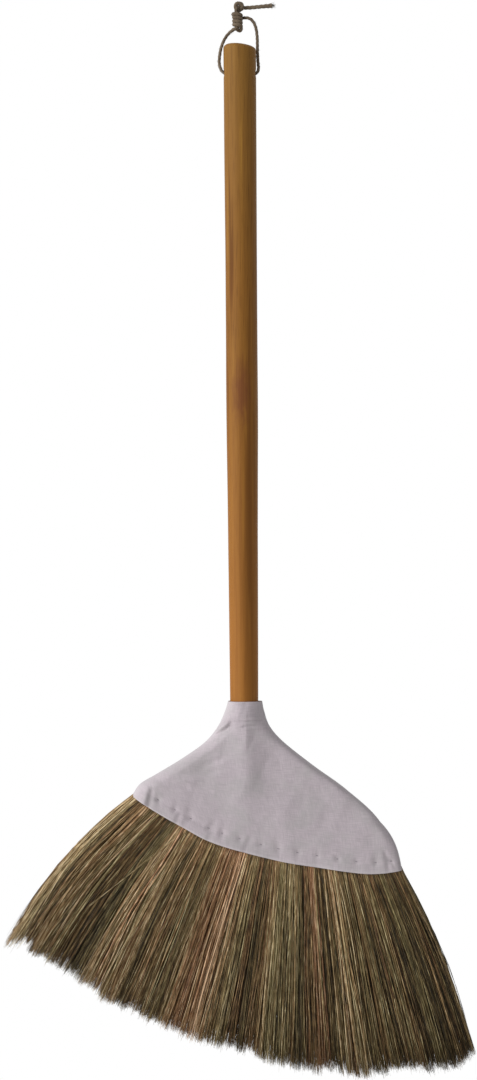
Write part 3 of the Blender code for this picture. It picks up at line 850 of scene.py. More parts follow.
@dataclass
class CottonCover:
    """One cotton panel of the sleeve, with its turned-over collar, its turned hem and its running stitch."""

    head: Head
    side: Side
    columns: int = 190
    rows: int = 176
    # Loose relief of the cloth, coarse and fine: its height, longest and shortest wave.
    coarse: tuple[float, float, float] = (0.50 * MM, 75 * MM, 22 * MM)
    fine: tuple[float, float, float] = (0.06 * MM, 16 * MM, 6 * MM)
    # The crest that the pole raises in the cloth: its height, reach and place right of the axis.
    crest: float = 0.7 * MM
    crest_reach: float = 5 * MM
    crest_aside: float = 1.5 * MM
    cloth_thickness: float = 1.0 * MM
    least_thickness: float = 0.4 * MM
    pole_gap: float = 0.15 * MM
    hem_thickness: float = 1.8 * MM
    hem_height: float = 12.5 * MM
    # How wide the painted highlight along the hem's edge is.
    hem_light_width: float = 1.3 * MM
    seam_gap: float = 0.04 * MM
    # Painted light: beside the side seams the cloth is painted paler over this width, to offset the shade of
    # its rounded sides. Then how much of the paler colour shows at the seams, and at the hem's edge as a
    # painted highlight.
    seam_light_width: float = 11 * MM
    seam_light: float = 0.55
    hem_highlight: float = 0.3
    flat_size: tuple[float, float] = (0.272, 0.172)
    flat_area: float = 0.0262
    stitch_offset: float = 10.5 * MM
    stitch_length: float = 2.6 * MM
    stitch_radius: float = 0.28 * MM
    dimple: float = 0.9 * MM
    dimple_width: float = 2.6 * MM
    pucker: float = 0.7 * MM
    pucker_size: tuple[float, float] = (2.2 * MM, 7.5 * MM)
    # The shallow groove along the row of stitches.
    groove: float = 0.45 * MM
    groove_width: float = 2.6 * MM
    # How far the cloth can sink, and how much further at the hem and left of the pole at the neck.
    sink: float = 1.0 * MM
    sink_at_hem: float = 0.9 * MM
    sink_at_neck: float = 1.3 * MM
    stitch_x: tuple[float, ...] = (
        -0.0861, -0.0700, -0.0546, -0.0377, -0.0247, -0.0076, 0.0127, 0.0295,
        0.0479, 0.0667, 0.0862, 0.1046, 0.1231, 0.1378,
    )
    creases: tuple[Crease, ...] = ()

    def __post_init__(self) -> None:
        """Puts the folds where this panel has them."""
        front = (
            Crease((-0.0182, -0.6842), (-0.0272, -0.6900), 2.40 * MM, 3.0 * MM, 1.6),
            Crease((-0.0235, -0.6765), (-0.0285, -0.6840), 0.80 * MM, 1.5 * MM, 2.6),
            Crease((-0.0315, -0.6925), (-0.0425, -0.6998), 0.90 * MM, 2.4 * MM, 2.6),
            Crease((-0.0140, -0.6738), (0.0105, -0.6735), 0.60 * MM, 1.2 * MM, 0.8),
            Crease((-0.0150, -0.6779), (0.0140, -0.6772), 0.70 * MM, 1.4 * MM, 0.8),
            Crease((-0.0030, -0.6821), (0.0160, -0.6800), 0.70 * MM, 1.5 * MM, 0.6),
            Crease((0.0058, -0.6925), (-0.0010, -0.7078), 0.35 * MM, 2.8 * MM, 0.4),
            Crease((-0.0392, -0.7178), (-0.0240, -0.7125), 0.60 * MM, 2.8 * MM, 0.8),
            Crease((-0.0760, -0.7290), (-0.0330, -0.7240), 0.50 * MM, 4.0 * MM, 0.8),
            Crease((-0.0870, -0.7330), (-0.0600, -0.7400), 0.60 * MM, 3.2 * MM, 0.7),
            Crease((-0.0925, -0.7450), (-0.0948, -0.7570), 1.3 * MM, 2.6 * MM, 0.5),
            Crease((-0.0660, -0.7690), (-0.0700, -0.7790), 0.8 * MM, 2.6 * MM, 0.5),
            Crease((-0.0560, -0.7640), (-0.0600, -0.7750), 0.6 * MM, 2.8 * MM, 0.5),
            Crease((-0.0330, -0.7790), (-0.0372, -0.7900), 0.7 * MM, 2.6 * MM, 0.5),
            Crease((0.0020, -0.7900), (-0.0030, -0.8020), 0.6 * MM, 2.0 * MM, 0.5),
            Crease((0.1330, -0.8060), (0.1360, -0.8190), 0.7 * MM, 2.2 * MM, 0.5),
        )
        back = (
            Crease((0.0100, -0.6780), (-0.0160, -0.6830), 0.8 * MM, 2.0 * MM),
            Crease((0.0130, -0.6860), (0.0300, -0.7010), 1.2 * MM, 2.6 * MM),
            Crease((-0.0480, -0.7150), (-0.0200, -0.7060), 0.7 * MM, 3.2 * MM),
            Crease((0.0560, -0.7420), (0.0250, -0.7230), 0.6 * MM, 3.6 * MM),
            Crease((-0.0840, -0.7480), (-0.0880, -0.7620), 1.1 * MM, 2.0 * MM),
            Crease((0.0990, -0.7960), (0.1010, -0.8150), 0.9 * MM, 2.1 * MM),
        )
        self.creases = front if self.side is Side.FRONT else back

    def share_above_hem(self, u: Array, offset: float) -> Array:
        """The share down the head that lies this far above the hem, measured down its last row.

        Args:
            u: shares across.
            offset: the distance above the hem.

        Returns:
            A share down for each share across.
        """
        last = 1 - 1 / (len(self.head.ribs) - 1)
        x, z, _ = self.head.place(u, np.ones_like(u), 0.0)
        above_x, above_z, _ = self.head.place(u, np.full_like(u, last), 0.0)
        return 1 - (1 - last) * offset / np.hypot(x - above_x, z - above_z)

    def stitch_row(self) -> tuple[Array, Array, Array, Array]:
        """The line that the stitches follow.

        Returns:
            Its shares across and down, and its x and z.
        """
        u = np.linspace(0.0, 1.0, 400)
        v = self.share_above_hem(u, self.stitch_offset)
        x, z, _ = self.head.place(u, v, 0.0)
        return u, v, x, z

    def wrinkles(self, u: Array, v: Array, x: Array, z: Array) -> Array:
        """How far the cloth stands out from its plain shape.

        It adds coarse and fine random relief, the folds, a sharp crest over the pole, and a dimple
        and a pucker at each stitch with a shallow groove between them. What lies under the cloth
        sets how far it can sink.

        Args:
            u: shares across.
            v: shares down.
            x: places across.
            z: places up.

        Returns:
            The height at each point.
        """
        seed = 11 if self.side is Side.FRONT else 29
        height = self.coarse[0] * relief(x, z, seed, *self.coarse[1:])
        height = height + self.fine[0] * relief(x, z, seed + 1, *self.fine[1:])
        for crease in self.creases:
            height = height + crease.height(x, z)
        aside = np.abs(x - self.head.handle_axis(z) - self.crest_aside)
        crest = self.crest * np.exp(-aside / self.crest_reach)
        height = height + crest * ease(0.02, 0.25, v) * (1 - ease(0.4, 0.65, v))
        _, _, row_x, row_z = self.stitch_row()
        sx = np.array(self.stitch_x)
        sz = np.interp(sx, row_x, row_z)
        away = np.hypot(x[..., None] - sx, z[..., None] - sz)
        height = height - self.dimple * np.exp(-((away / self.dimple_width) ** 2)).sum(-1)
        draw = np.random.default_rng(seed + 3)
        lean, size = draw.normal(0.0, 0.25, len(sx)), draw.uniform(0.3, 1.2, len(sx))
        down = (z[..., None] - sz) / self.pucker_size[1]
        aside = (x[..., None] - sx) / self.pucker_size[0] + lean * (z[..., None] - sz) / self.pucker_size[0]
        height = height - (self.pucker * size * np.exp(-(aside**2) - down**2)).sum(-1)
        off_row = (z - np.interp(x, row_x, row_z)) / self.groove_width
        height = height - self.groove * np.exp(-(off_row**2))
        near_side = np.minimum(u, 1 - u)
        # The pole and the bindings under the cloth let it sink less than the loose stems do.
        at_neck = (1 - ease(0.335, 0.365, v)) * (1 - ease(-21 * MM, -18 * MM, x))
        deepest = self.sink + self.sink_at_hem * ease(0.86, 0.93, v) + self.sink_at_neck * at_neck
        return np.maximum(height, -deepest) * ease(0.0, 0.03, near_side)

    def panel(self, u: Array, v: Array) -> Array:
        """Points of the panel's outer face.

        Args:
            u: shares across.
            v: shares down.

        Returns:
            A point for each pair of shares.
        """
        x, z, depth = self.head.place(u, v, 0.0)
        depth = depth + self.wrinkles(u, v, x, z)
        return np.stack([x, self.side.value * (np.clip(depth, 0.0, None) + self.seam_gap), z], axis=-1)

    def build(self, finish: bpy.types.Material) -> bpy.types.Object:
        """Makes the panel as one closed shell.

        Rows run down the outer face, round the hem's half-round edge, up the inner face and round
        the collar's edge. Across, u = (1 - cos) / 2 sets the columns closest at the sides.

        Args:
            finish: its material.

        Returns:
            The panel.
        """
        u = (1 - np.cos(np.pi * np.linspace(0, 1, self.columns))) / 2
        v = np.linspace(0, 1, self.rows)
        uu, vv = np.meshgrid(u, v)
        hem_top = self.share_above_hem(u, self.hem_height)[None]
        hem = ease(hem_top, hem_top + 0.01, vv)
        thickness = self.cloth_thickness + (self.hem_thickness - self.cloth_thickness) * hem
        outer = self.panel(uu, vv)
        inner = outer.copy()
        deep = np.abs(outer[..., 1])
        under = deep - np.minimum(thickness, deep * 0.6)
        # The inner face lies on the pole where a crease would press it into the wood.
        pole = self.head.pole_depth(outer[..., 0], outer[..., 2])
        on_pole = np.minimum(pole + self.pole_gap, deep - self.least_thickness)
        under = np.where(pole > 0, np.maximum(under, on_pole), under)
        inner[..., 1] = self.side.value * under
        rims = []
        for row, inside in ((-1, -2), (0, 1)):
            centre, half = (outer[row] + inner[row]) / 2, (outer[row] - inner[row]) / 2
            beyond = unit(outer[row] - outer[inside]) * np.linalg.norm(half, axis=-1, keepdims=True)
            angle = np.radians([30, 60, 90, 120, 150] if row else [150, 120, 90, 60, 30])[:, None, None]
            rims.append(centre + half * np.cos(angle) + beyond * np.sin(angle))
        shell = np.concatenate([outer, rims[0], inner[::-1], rims[1]])
        total, wide = shell.shape[:2]
        numbers = np.arange(total * wide).reshape(total, wide)
        rows, edge = self.rows, len(rims[0])
        groups = [grid_faces(total, wide, round_rows=True)]
        for column, turned in ((0, True), (wide - 1, False)):
            down = numbers[:rows, column]
            up = numbers[rows + edge : 2 * rows + edge, column][::-1]
            strip = np.stack([down[:-1], down[1:], up[1:], up[:-1]], axis=1)
            hem_end = numbers[rows - 1 : rows + edge + 1, column][None]
            collar_end = np.append(numbers[2 * rows + edge - 1 :, column], numbers[0, column])[None]
            for faces in (strip, hem_end, collar_end):
                facing = turned if faces is strip else not turned
                groups.append(faces if facing else faces[:, ::-1])
        name = f"cotton_cover_{self.side.name.lower()}"
        made = make_piece(name, shell.reshape(-1, 3), *groups)
        width = np.linalg.norm(np.diff(outer, axis=1), axis=-1)
        run = np.concatenate([np.zeros((rows, 1)), np.cumsum(width, axis=1)], axis=1)
        middle = run[:, wide // 2][:, None]
        rise = np.linalg.norm(np.diff(outer[:, wide // 2], axis=0), axis=-1)
        fall = np.concatenate([[0.0], np.cumsum(rise)])[:, None] * np.ones(wide)
        sheet = np.stack([run - middle, -fall, 0 * run], axis=-1)
        ends = np.repeat(sheet[-1:], edge, axis=0), np.repeat(sheet[:1], edge, axis=0)
        mark(made, "cloth", np.concatenate([sheet, ends[0], sheet[::-1], ends[1]]).reshape(-1, 3))
        # Painted light: the cloth is painted paler along the side seams, against the shade of the rounded
        # sides, and along the hem's edge as a painted highlight.
        above = fall[-1:] - fall
        from_seam = np.minimum(run, run[:, -1:] - run)
        seam_light_share = self.seam_light * np.exp(-((from_seam / self.seam_light_width) ** 2))
        edge_light_share = np.maximum(self.hem_highlight * np.exp(-((above / self.hem_light_width) ** 2)), seam_light_share)
        hem_light_share = np.full((edge, wide), self.hem_highlight)
        collar_light_share = np.repeat(edge_light_share[:1], edge, axis=0)
        painted_light_rows = np.concatenate([edge_light_share, hem_light_share, edge_light_share[::-1], collar_light_share])
        mark(made, "painted_light", painted_light_rows.ravel())
        made.data.materials.append(finish)
        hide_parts(f"cover_{self.side.name.lower()}")
        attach(made, "broom")
        area = float((width[:-1] * rise[:, None]).sum())
        log.info("%s: %d points, about %.4f square metres", made.name, len(shell) * wide, area)
        return made

    def stitches(self, finish: bpy.types.Material) -> bpy.types.Object:
        """Makes the stitches that show: short arcs of thread whose ends go into the cloth.

        Args:
            finish: the thread's material.

        Returns:
            All the panel's stitches as one piece.
        """
        u, v, x, z = self.stitch_row()
        slope = np.interp(self.stitch_x, x, np.gradient(z, x))
        share = np.linspace(-1, 1, 7)
        reach = self.stitch_length / 2 / np.sqrt(1 + slope**2)
        spots = np.array(self.stitch_x)[:, None] + reach[:, None] * share
        cloth = self.panel(np.interp(spots, x, u), np.interp(spots, x, v))
        rise = self.stitch_radius * (1.2 - 2.6 * share**4)
        cloth[..., 1] += self.side.value * rise
        radii = np.full(spots.shape, self.stitch_radius)
        points, walls, ends = fibre_mesh(cloth, radii, np.zeros(len(spots)), sides=8)
        made = make_piece(f"running_stitch_{self.side.name.lower()}", points, walls, ends)
        made.data.materials.append(finish)
        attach(made, "broom")
        log.info("%s: %d stitches", made.name, len(spots))
        return made


@dataclass
class StrawBundle:
    """One bunch of straw: packed stems inside the cover, and its loose straws fanned out below it."""

    head: Head
    number: int
    tufts: int = 5
    straws: int = 90
    # Straws of each tuft that lie on the face, thicker than those beneath, with a painted highlight that
    # makes them lighter while those beneath get painted shade.
    upper: int = 9
    # How much shorter the straws at a tuft's sides are than those in its middle.
    point: float = 3.5 * MM
    # How much lighter the straws are at some shares of the hem: partly their own tone, partly painted light
    # that makes the fan's left end lighter and its right end darker.
    lighter: tuple[tuple[float, float], ...] = (
        (0.0, 0.07), (0.04, -0.03), (0.20, -0.01), (0.35, 0.01), (0.60, -0.01), (0.80, -0.04), (1.0, -0.09),
    )
    # How much longer the straws are than the fan's tips at some shares of the hem, in millimetres.
    trims: tuple[tuple[float, float], ...] = (
        (0.000, 6.0), (0.018, 2.0), (0.034, -13.0), (0.060, -11.0), (0.070, -2.0), (0.085, -5.0),
        (0.110, -6.0), (0.140, -6.0), (0.174, -8.0), (0.208, -4.0), (0.243, 0.5), (0.278, -2.0),
        (0.313, -4.0), (0.349, -4.5), (0.385, -5.0), (0.420, -2.2), (0.450, 1.0), (0.480, -0.5),
        (0.512, -3.0), (0.543, -5.5), (0.574, 2.5), (0.633, 1.0), (0.665, 3.0), (0.690, -2.0),
        (0.720, 1.0), (0.751, 4.5), (0.813, -2.0), (0.880, -3.0), (0.953, 4.5), (1.000, 2.0),
    )
    stems: int = 60
    # How many bunches lie left of the pole, under its end, and right of it.
    left: int = 8
    middle: int = 3
    right: int = 9
    # Shares of the hem that the left and the middle bunches take, and where the stems begin, of
    # the bunches beside the pole and of those under its end.
    left_share: float = 0.40
    middle_share: float = 0.15
    top: float = 0.34
    middle_top: float = 0.80
    stem_radius: float = 0.75 * MM
    # How far under the cloth's outer face are the bunch's sides, its stems, the start of its straws,
    # its straws at the hem, and its single stalks there.
    bunch_inset: float = 4.4 * MM
    stem_inset: float = 4.6 * MM
    straw_inset: float = 3.0 * MM
    hem_inset: float = 2.3 * MM
    stalk_inset: float = 0.8 * MM
    # The room that the bunches leave round the pole.
    pole_room: float = 0.5 * MM
    # The share of the head's height at which the bunches begin to close up, and over what share.
    close_from: float = 0.78
    close_over: float = 0.20
    # How unevenly the straws of a tuft end: the mean shortening, and what the fan's left edge adds.
    short: float = 4.2 * MM
    short_at_left: float = 9 * MM
    # How far the straws stray from their tuft, and those that cross others.
    stray: float = 1.3 * MM
    crossing_stray: float = 6.5 * MM
    # Sizes of a straw's own bends, of one, two and three half waves.
    waves: tuple[float, ...] = (1.1 * MM, 0.8 * MM, 0.5 * MM)
    # Places along a loose straw, and its radius inside the cover and then at each of them.
    shares: tuple[float, ...] = (0.0, 0.05, 0.16, 0.28, 0.41, 0.55, 0.70, 0.85, 1.0)
    radii: tuple[float, ...] = tuple(0.01 * MM * v for v in (36, 38, 37, 36, 35, 33, 31, 28, 22, 7))
    tip_half_depth: float = 15 * MM
    # The share of the hem below which straws hang plumb, and how far they droop left and right of it.
    plumb: float = 0.58
    droop_left: float = 9 * MM
    droop_right: float = 4.8 * MM
    # Tufts of the front, by the share of the hem where they leave it.
    bands: tuple[tuple[float, Straw], ...] = (
        (0.010, Straw.WHEAT), (0.040, Straw.BARK), (0.065, Straw.TAN), (0.090, Straw.OLIVE),
        (0.115, Straw.OLIVE), (0.130, Straw.SHADE), (0.150, Straw.SHADE), (0.170, Straw.MOSS),
        (0.190, Straw.TAN), (0.215, Straw.TAN), (0.232, Straw.WHEAT), (0.250, Straw.BARK),
        (0.275, Straw.SHADE), (0.295, Straw.TAN), (0.315, Straw.BARK), (0.335, Straw.OLIVE),
        (0.360, Straw.OLIVE), (0.380, Straw.TAN), (0.405, Straw.RUSSET), (0.425, Straw.RUSSET),
        (0.445, Straw.TAN), (0.465, Straw.BARK), (0.485, Straw.OLIVE), (0.510, Straw.BARK),
        (0.530, Straw.SHADE), (0.555, Straw.TAN), (0.575, Straw.OLIVE), (0.595, Straw.MOSS),
        (0.615, Straw.OLIVE), (0.640, Straw.SHADE), (0.660, Straw.BARK), (0.680, Straw.RUSSET),
        (0.698, Straw.SHADE), (0.720, Straw.OLIVE), (0.742, Straw.TAN), (0.756, Straw.WHEAT),
        (0.772, Straw.SHADE), (0.792, Straw.MOSS), (0.815, Straw.OLIVE), (0.838, Straw.SHADE),
        (0.860, Straw.OLIVE), (0.882, Straw.SHADE), (0.905, Straw.SHADE), (0.925, Straw.MOSS),
        (0.945, Straw.SHADE), (0.968, Straw.SHADE), (0.990, Straw.MOSS),
    )

    # Single stalks: share of the hem, tip x and tip z, radius, tone and hue.
    stalks: tuple[tuple[float, ...], ...] = (
        (0.228, -0.1400, -0.9280, 0.46 * MM, 0.80, 0.42),
        (0.242, -0.1330, -0.9300, 0.38 * MM, 0.74, 0.46),
        (0.060, -0.2020, -0.8960, 0.38 * MM, 0.72, 0.36),
        (0.300, -0.1120, -0.9400, 0.40 * MM, 0.72, 0.50),
        (0.350, -0.0900, -0.9520, 0.36 * MM, 0.70, 0.44),
        (0.448, -0.0420, -0.9720, 0.38 * MM, 0.72, 0.44),
        (0.568, 0.0118, -1.0010, 0.62 * MM, 0.86, 0.34),
        (0.610, 0.0400, -0.9900, 0.36 * MM, 0.66, 0.34),
        (0.752, 0.1110, -1.0120, 0.50 * MM, 0.76, 0.34),
        (0.744, 0.1010, -1.0000, 0.38 * MM, 0.70, 0.40),
        (0.865, 0.1600, -1.0050, 0.36 * MM, 0.62, 0.30),
        (0.930, 0.1920, -0.9950, 0.34 * MM, 0.60, 0.28),
        (0.222, -0.1523, -0.8539, 0.30 * MM, 0.78, 0.32),
        (0.214, -0.1585, -0.8600, 0.26 * MM, 0.72, 0.30),
        (0.362, -0.0560, -0.8700, 0.28 * MM, 0.76, 0.44),
        (0.300, -0.0760, -0.8660, 0.28 * MM, 0.72, 0.50),
        (0.020, -0.2220, -0.8960, 0.40 * MM, 0.74, 0.36),
        (0.500, -0.0210, -0.9100, 0.28 * MM, 0.70, 0.40),
    )

    def bounds(self, v: Array) -> tuple[Array, Array]:
        """The shares of the head's width between which the bunch lies.

        Down to the pole's end the bunches keep beside it, and below it they close up.

        Args:
            v: shares of the head's height.

        Returns:
            The low and the high share.
        """
        left, right = self.head.outline(v, self.bunch_inset)
        width = right[..., 0] - left[..., 0]
        middle_z = left[..., 1] + (right[..., 1] - left[..., 1]) * 0.45
        room = self.head.handle_radius(middle_z) + self.pole_room
        start = left[..., 0] + self.head.sag(np.full_like(v, 0.47), v)[..., 0]
        axis = self.head.handle_axis(middle_z)
        free = np.clip((v - self.close_from) / self.close_over, 0.0, 1.0)
        low, high = (axis - room - start) / width, (axis + room - start) / width
        low = low + (self.left_share - low) * free
        high = high + (self.left_share + self.middle_share - high) * free
        index = self.number - 1
        if index < self.left:
            return low * index / self.left, low * (index + 1) / self.left
        index -= self.left
        if index < self.middle:
            step = (high - low) / self.middle
            return low + step * index, low + step * (index + 1)
        index -= self.middle
        step = (1 - high) / self.right
        return high + step * index, high + step * (index + 1)

    def inside(self, a: Array, b: Array, v: Array, inset: float) -> Array:
        """Points of the bunch inside the cover.

        Args:
            a: shares across the bunch, 0 to 1.
            b: shares through it, -1 to 1.
            v: shares of the head's height.
            inset: how far under the cloth's outer face.

        Returns:
            A point for each.
        """
        low, high = self.bounds(v)
        x, z, depth = self.head.place(low + (high - low) * a, v, inset)
        return np.stack([x, b * depth, z], axis=-1)

    def packed_stems(self, draw: np.random.Generator) -> tuple[Array, Array, Array]:
        """The thicker stems that fill the cover, from the neck down to the hem.

        Args:
            draw: the source of random numbers.

        Returns:
            Their paths, radii and rolls.
        """
        beside_pole = not self.left < self.number <= self.left + self.middle
        v = np.linspace(self.top if beside_pole else self.middle_top, 0.96, 7)
        a = draw.uniform(0.04, 0.96, (self.stems, 1))
        b = draw.uniform(-0.92, 0.92, (self.stems, 1))
        rows = np.broadcast_to(v, (self.stems, len(v)))
        paths = self.inside(a, b, rows, self.stem_inset)
        radii = np.broadcast_to(self.stem_radius * np.linspace(1.0, 0.6, len(v)), rows.shape)
        return paths, radii, draw.uniform(0, 2 * np.pi, self.stems)

    def loose_straws(self, side: Side, draw: np.random.Generator) -> tuple[Array, ...]:
        """The straws of one face of the bunch, in tufts.

        A straw leaves the hem at its share a and ends near its tuft's share of the tips. Between them
        it is a straight run plus a droop outward of sin(pi s) and its own slight wave.

        Args:
            side: the face of the fan that they fill.
            draw: the source of random numbers.

        Returns:
            Their paths, radii and rolls, and each straw's tone and hue.
        """
        count = self.tufts * self.straws
        tuft = np.repeat(np.arange(self.tufts), self.straws)
        widths = draw.uniform(0.5, 1.5, self.tufts)
        edges = np.concatenate([[0.0], np.cumsum(widths / widths.sum())])
        centre = (edges[1:] + edges[:-1]) / 2
        a = edges[tuft] + (edges[tuft + 1] - edges[tuft]) * draw.uniform(0.02, 0.98, count)
        low, high = self.bounds(np.array(1.0))
        u = low + (high - low) * a
        clump = draw.uniform(-0.05, 0.25, self.tufts)[tuft]
        shift = draw.normal(0.0, 0.025, self.tufts)[tuft]
        upper = np.arange(count) % self.straws < self.upper
        tip_a = centre[tuft] + (a - centre[tuft]) * (1 - clump) + shift
        tip_a = tip_a + draw.normal(0, 0.035, count) * np.where(upper, 3.0, 1.0)
        hem, _ = self.head.fan_places(u)
        _, tip = self.head.fan_places(np.clip(low + (high - low) * tip_a, 0.0, 1.0))
        run = unit(tip - hem)
        across = np.stack([-run[:, 1], run[:, 0]], axis=1) * np.sign(run[:, :1] + 1e-9)
        aside = (a - centre[tuft]) / (edges[tuft + 1] - edges[tuft])
        ragged = draw.normal(1.0 * MM, 2.0 * MM, self.tufts)[tuft] - draw.exponential(self.short, count)
        ragged = ragged - self.point * np.abs(2 * aside) ** 1.5
        ragged = ragged + MM * np.interp(u, *np.array(self.trims).T)
        ragged = ragged - draw.exponential(self.short_at_left, count) * (1 - ease(0.0, 0.05, u))
        ragged = ragged + (draw.random(count) < 0.05) * 3 * MM
        stray = draw.normal(0, self.stray, count)
        crossing = draw.random(count) < np.where(upper, 0.22, 0.04)
        stray = stray + crossing * draw.normal(0, self.crossing_stray, count)
        edge = 1 - ease(0.0, 0.05, np.minimum(u, 1 - u))
        stray = np.clip(stray, -9 * MM, (9 - edge * np.where(u < 0.5, 4.0, 7.6)) * MM)
        tip = tip + run * ragged[:, None] + across * stray[:, None]
        b = side.value * np.where(upper, 0.99, np.sqrt(draw.uniform(0.0, 1.0, count)) * 0.96)
        near_side = np.sqrt(np.clip(np.minimum(u, 1 - u) / 0.03, 0.0, 1.0))
        tip_depth = b * self.tip_half_depth * (0.45 + 0.55 * near_side) + draw.normal(0, 1.2 * MM, count)
        start = self.inside(a, b, np.full(count, 0.90), self.straw_inset)
        _, _, depth = self.head.place(u, np.ones(count), self.hem_inset)
        share = np.array(self.shares)[None]
        flat = hem[:, None] + (tip - hem)[:, None] * share[..., None]
        on_left = u < self.plumb
        from_plumb = (u - self.plumb) / np.where(on_left, -self.plumb, 1 - self.plumb)
        droop = np.where(on_left, self.droop_left, self.droop_right)
        bow = (from_plumb ** np.where(on_left, 1.7, 2.5) * droop)[:, None] * np.sin(np.pi * share)
        wave = np.zeros((count, share.shape[1]))
        for number, size in enumerate(self.waves, 1):
            wave = wave + draw.normal(0, size, (count, 1)) * np.sin(number * np.pi * share)
        flat = flat + across[:, None] * (bow + wave)[..., None]
        y = (b * depth)[:, None] * (1 - share) + tip_depth[:, None] * share
        y = y + draw.normal(0, 0.8 * MM, (count, 1)) * np.sin(np.pi * share)
        y = y + draw.normal(0, 0.6 * MM, (count, 1)) * np.sin(3.3 * np.pi * share)
        proud = np.where(upper, draw.uniform(0.2, 1.6, count) * MM, -0.4 * MM) * side.value
        y = y + proud[:, None] * np.clip(share / 0.2, 0.0, 1.0)
        loose = np.stack([flat[..., 0], y, flat[..., 1]], axis=-1)
        paths = np.concatenate([start[:, None], loose], axis=1)
        radii = np.array(self.radii) * np.exp(draw.normal(-0.08, 0.30, count) + 0.12 * upper)[:, None]
        tone, hue = self.tuft_looks(side, low + (high - low) * centre, draw)
        # Painted highlight on the straws that lie on the face, and painted shade on those beneath them.
        tone = tone[tuft] + draw.normal(0, 0.15, count) + np.where(upper, 0.16, -0.06)
        # Painted light across the fan, over the straws' own tones: lighter at its left end, darker towards
        # its right end.
        tone = tone + np.interp(u, *np.array(self.lighter).T)
        hue = hue[tuft] + draw.normal(0, 0.15, count)
        return paths, radii, draw.uniform(0, 2 * np.pi, count), tone, hue

    def single_stalks(self) -> tuple[Array, ...]:
        """The few long, light stalks that lie across the front of the bunch, as the photograph shows.

        Each runs straight from the hem to its tip, with a slight bow of sin(pi s).

        Returns:
            Their paths, radii and rolls, and each stalk's tone and hue.
        """
        low, high = self.bounds(np.array(1.0))
        table = np.array([row for row in self.stalks if low <= row[0] < high]).reshape(-1, 6)
        u, tip_x, tip_z, width, tone, hue = table.T
        hem, _ = self.head.fan_places(u)
        _, _, depth = self.head.place(u, np.ones(len(u)), self.stalk_inset)
        share = np.array([-0.05, 0.02, 0.2, 0.4, 0.6, 0.8, 1.0])[None]
        x = hem[:, :1] + (tip_x[:, None] - hem[:, :1]) * share + 1.2 * MM * np.sin(np.pi * share)
        z = hem[:, 1:] + (tip_z[:, None] - hem[:, 1:]) * share
        y = -(depth[:, None] * (1 - share) + (self.tip_half_depth + 1.5 * MM) * share)
        y = y + 2.4 * MM * (1 - ease(0.0, 0.1, share))
        radii = width[:, None] * np.array([0.8, 1.0, 1.0, 1.0, 0.9, 0.75, 0.4])
        return np.stack([x, y, z], axis=-1), radii, np.zeros(len(u)), tone, hue

    def tuft_looks(self, side: Side, u: Array, draw: np.random.Generator) -> tuple[Array, Array]:
        """Tone and hue of each tuft: the front's from its bands, the back's from bands drawn at random.

        Args:
            side: the face that the tufts are on.
            u: each tuft's share of the hem.
            draw: the source of random numbers.

        Returns:
            A tone and a hue for each tuft.
        """
        places = np.array([place for place, _ in self.bands])
        looks = np.array([kind.value for _, kind in self.bands])
        if side is Side.FRONT:
            nearest = np.abs(u[:, None] - places).argmin(axis=1)
        else:
            nearest = draw.integers(0, len(looks), len(u))
        tone, hue = (looks[nearest, k] + draw.normal(0, 0.07, len(u)) for k in (0, 1))
        return tone, hue

    def build(self, finish: bpy.types.Material, slot: str) -> bpy.types.Object:
        """Makes the bunch as one piece of thin three-sided rods.

        Args:
            finish: its material.
            slot: the name of its material slot; not used.

        Returns:
            The bunch.
        """
        draw = np.random.default_rng(1000 + self.number)
        stem_paths, stem_radii, stem_roll = self.packed_stems(draw)
        even = np.full(self.stems, 0.5)
        parts = [(stem_paths, stem_radii, stem_roll, even, even)]
        parts += [self.loose_straws(side, draw) for side in Side]
        parts.append(self.single_stalks())
        points, walls, ends = (np.concatenate(group) for group in zip(*self.rods(parts)))
        made = make_piece(f"straw_{self.number:02d}", points, walls, ends)
        sizes = [radii.shape for _, radii, *_ in parts]
        tone, hue = (
            np.concatenate([np.repeat(part[k], n[1] * 3) for part, n in zip(parts, sizes)]) for k in (3, 4)
        )
        along = np.concatenate([np.repeat(np.tile(np.linspace(0, 1, n[1]), n[0]), 3) for n in sizes])
        for name, values in (("tone", tone), ("hue", hue), ("along", along)):
            mark(made, name, np.clip(values, 0.0, 1.0))
        made.data.materials.append(finish)
        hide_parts(f"straw_bundle_{self.number:02d}")
        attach(made, "broom")
        log.info("%s: %d straws", made.name, sum(n[0] for n in sizes))
        return made

    def rods(self, parts: list[tuple[Array, ...]]) -> list[tuple[Array, Array, Array]]:
        """Meshes of groups of rods, numbered on from one group to the next.

        Args:
            parts: each group's paths, radii, rolls, tones and hues.

        Returns:
            Each group's points, side faces and end faces.
        """
        made, count = [], 0
        for paths, radii, roll, *_ in parts:
            points, walls, ends = fibre_mesh(paths, radii, roll)
            made.append((points, walls + count, ends + count))
            count += len(points)
        return made


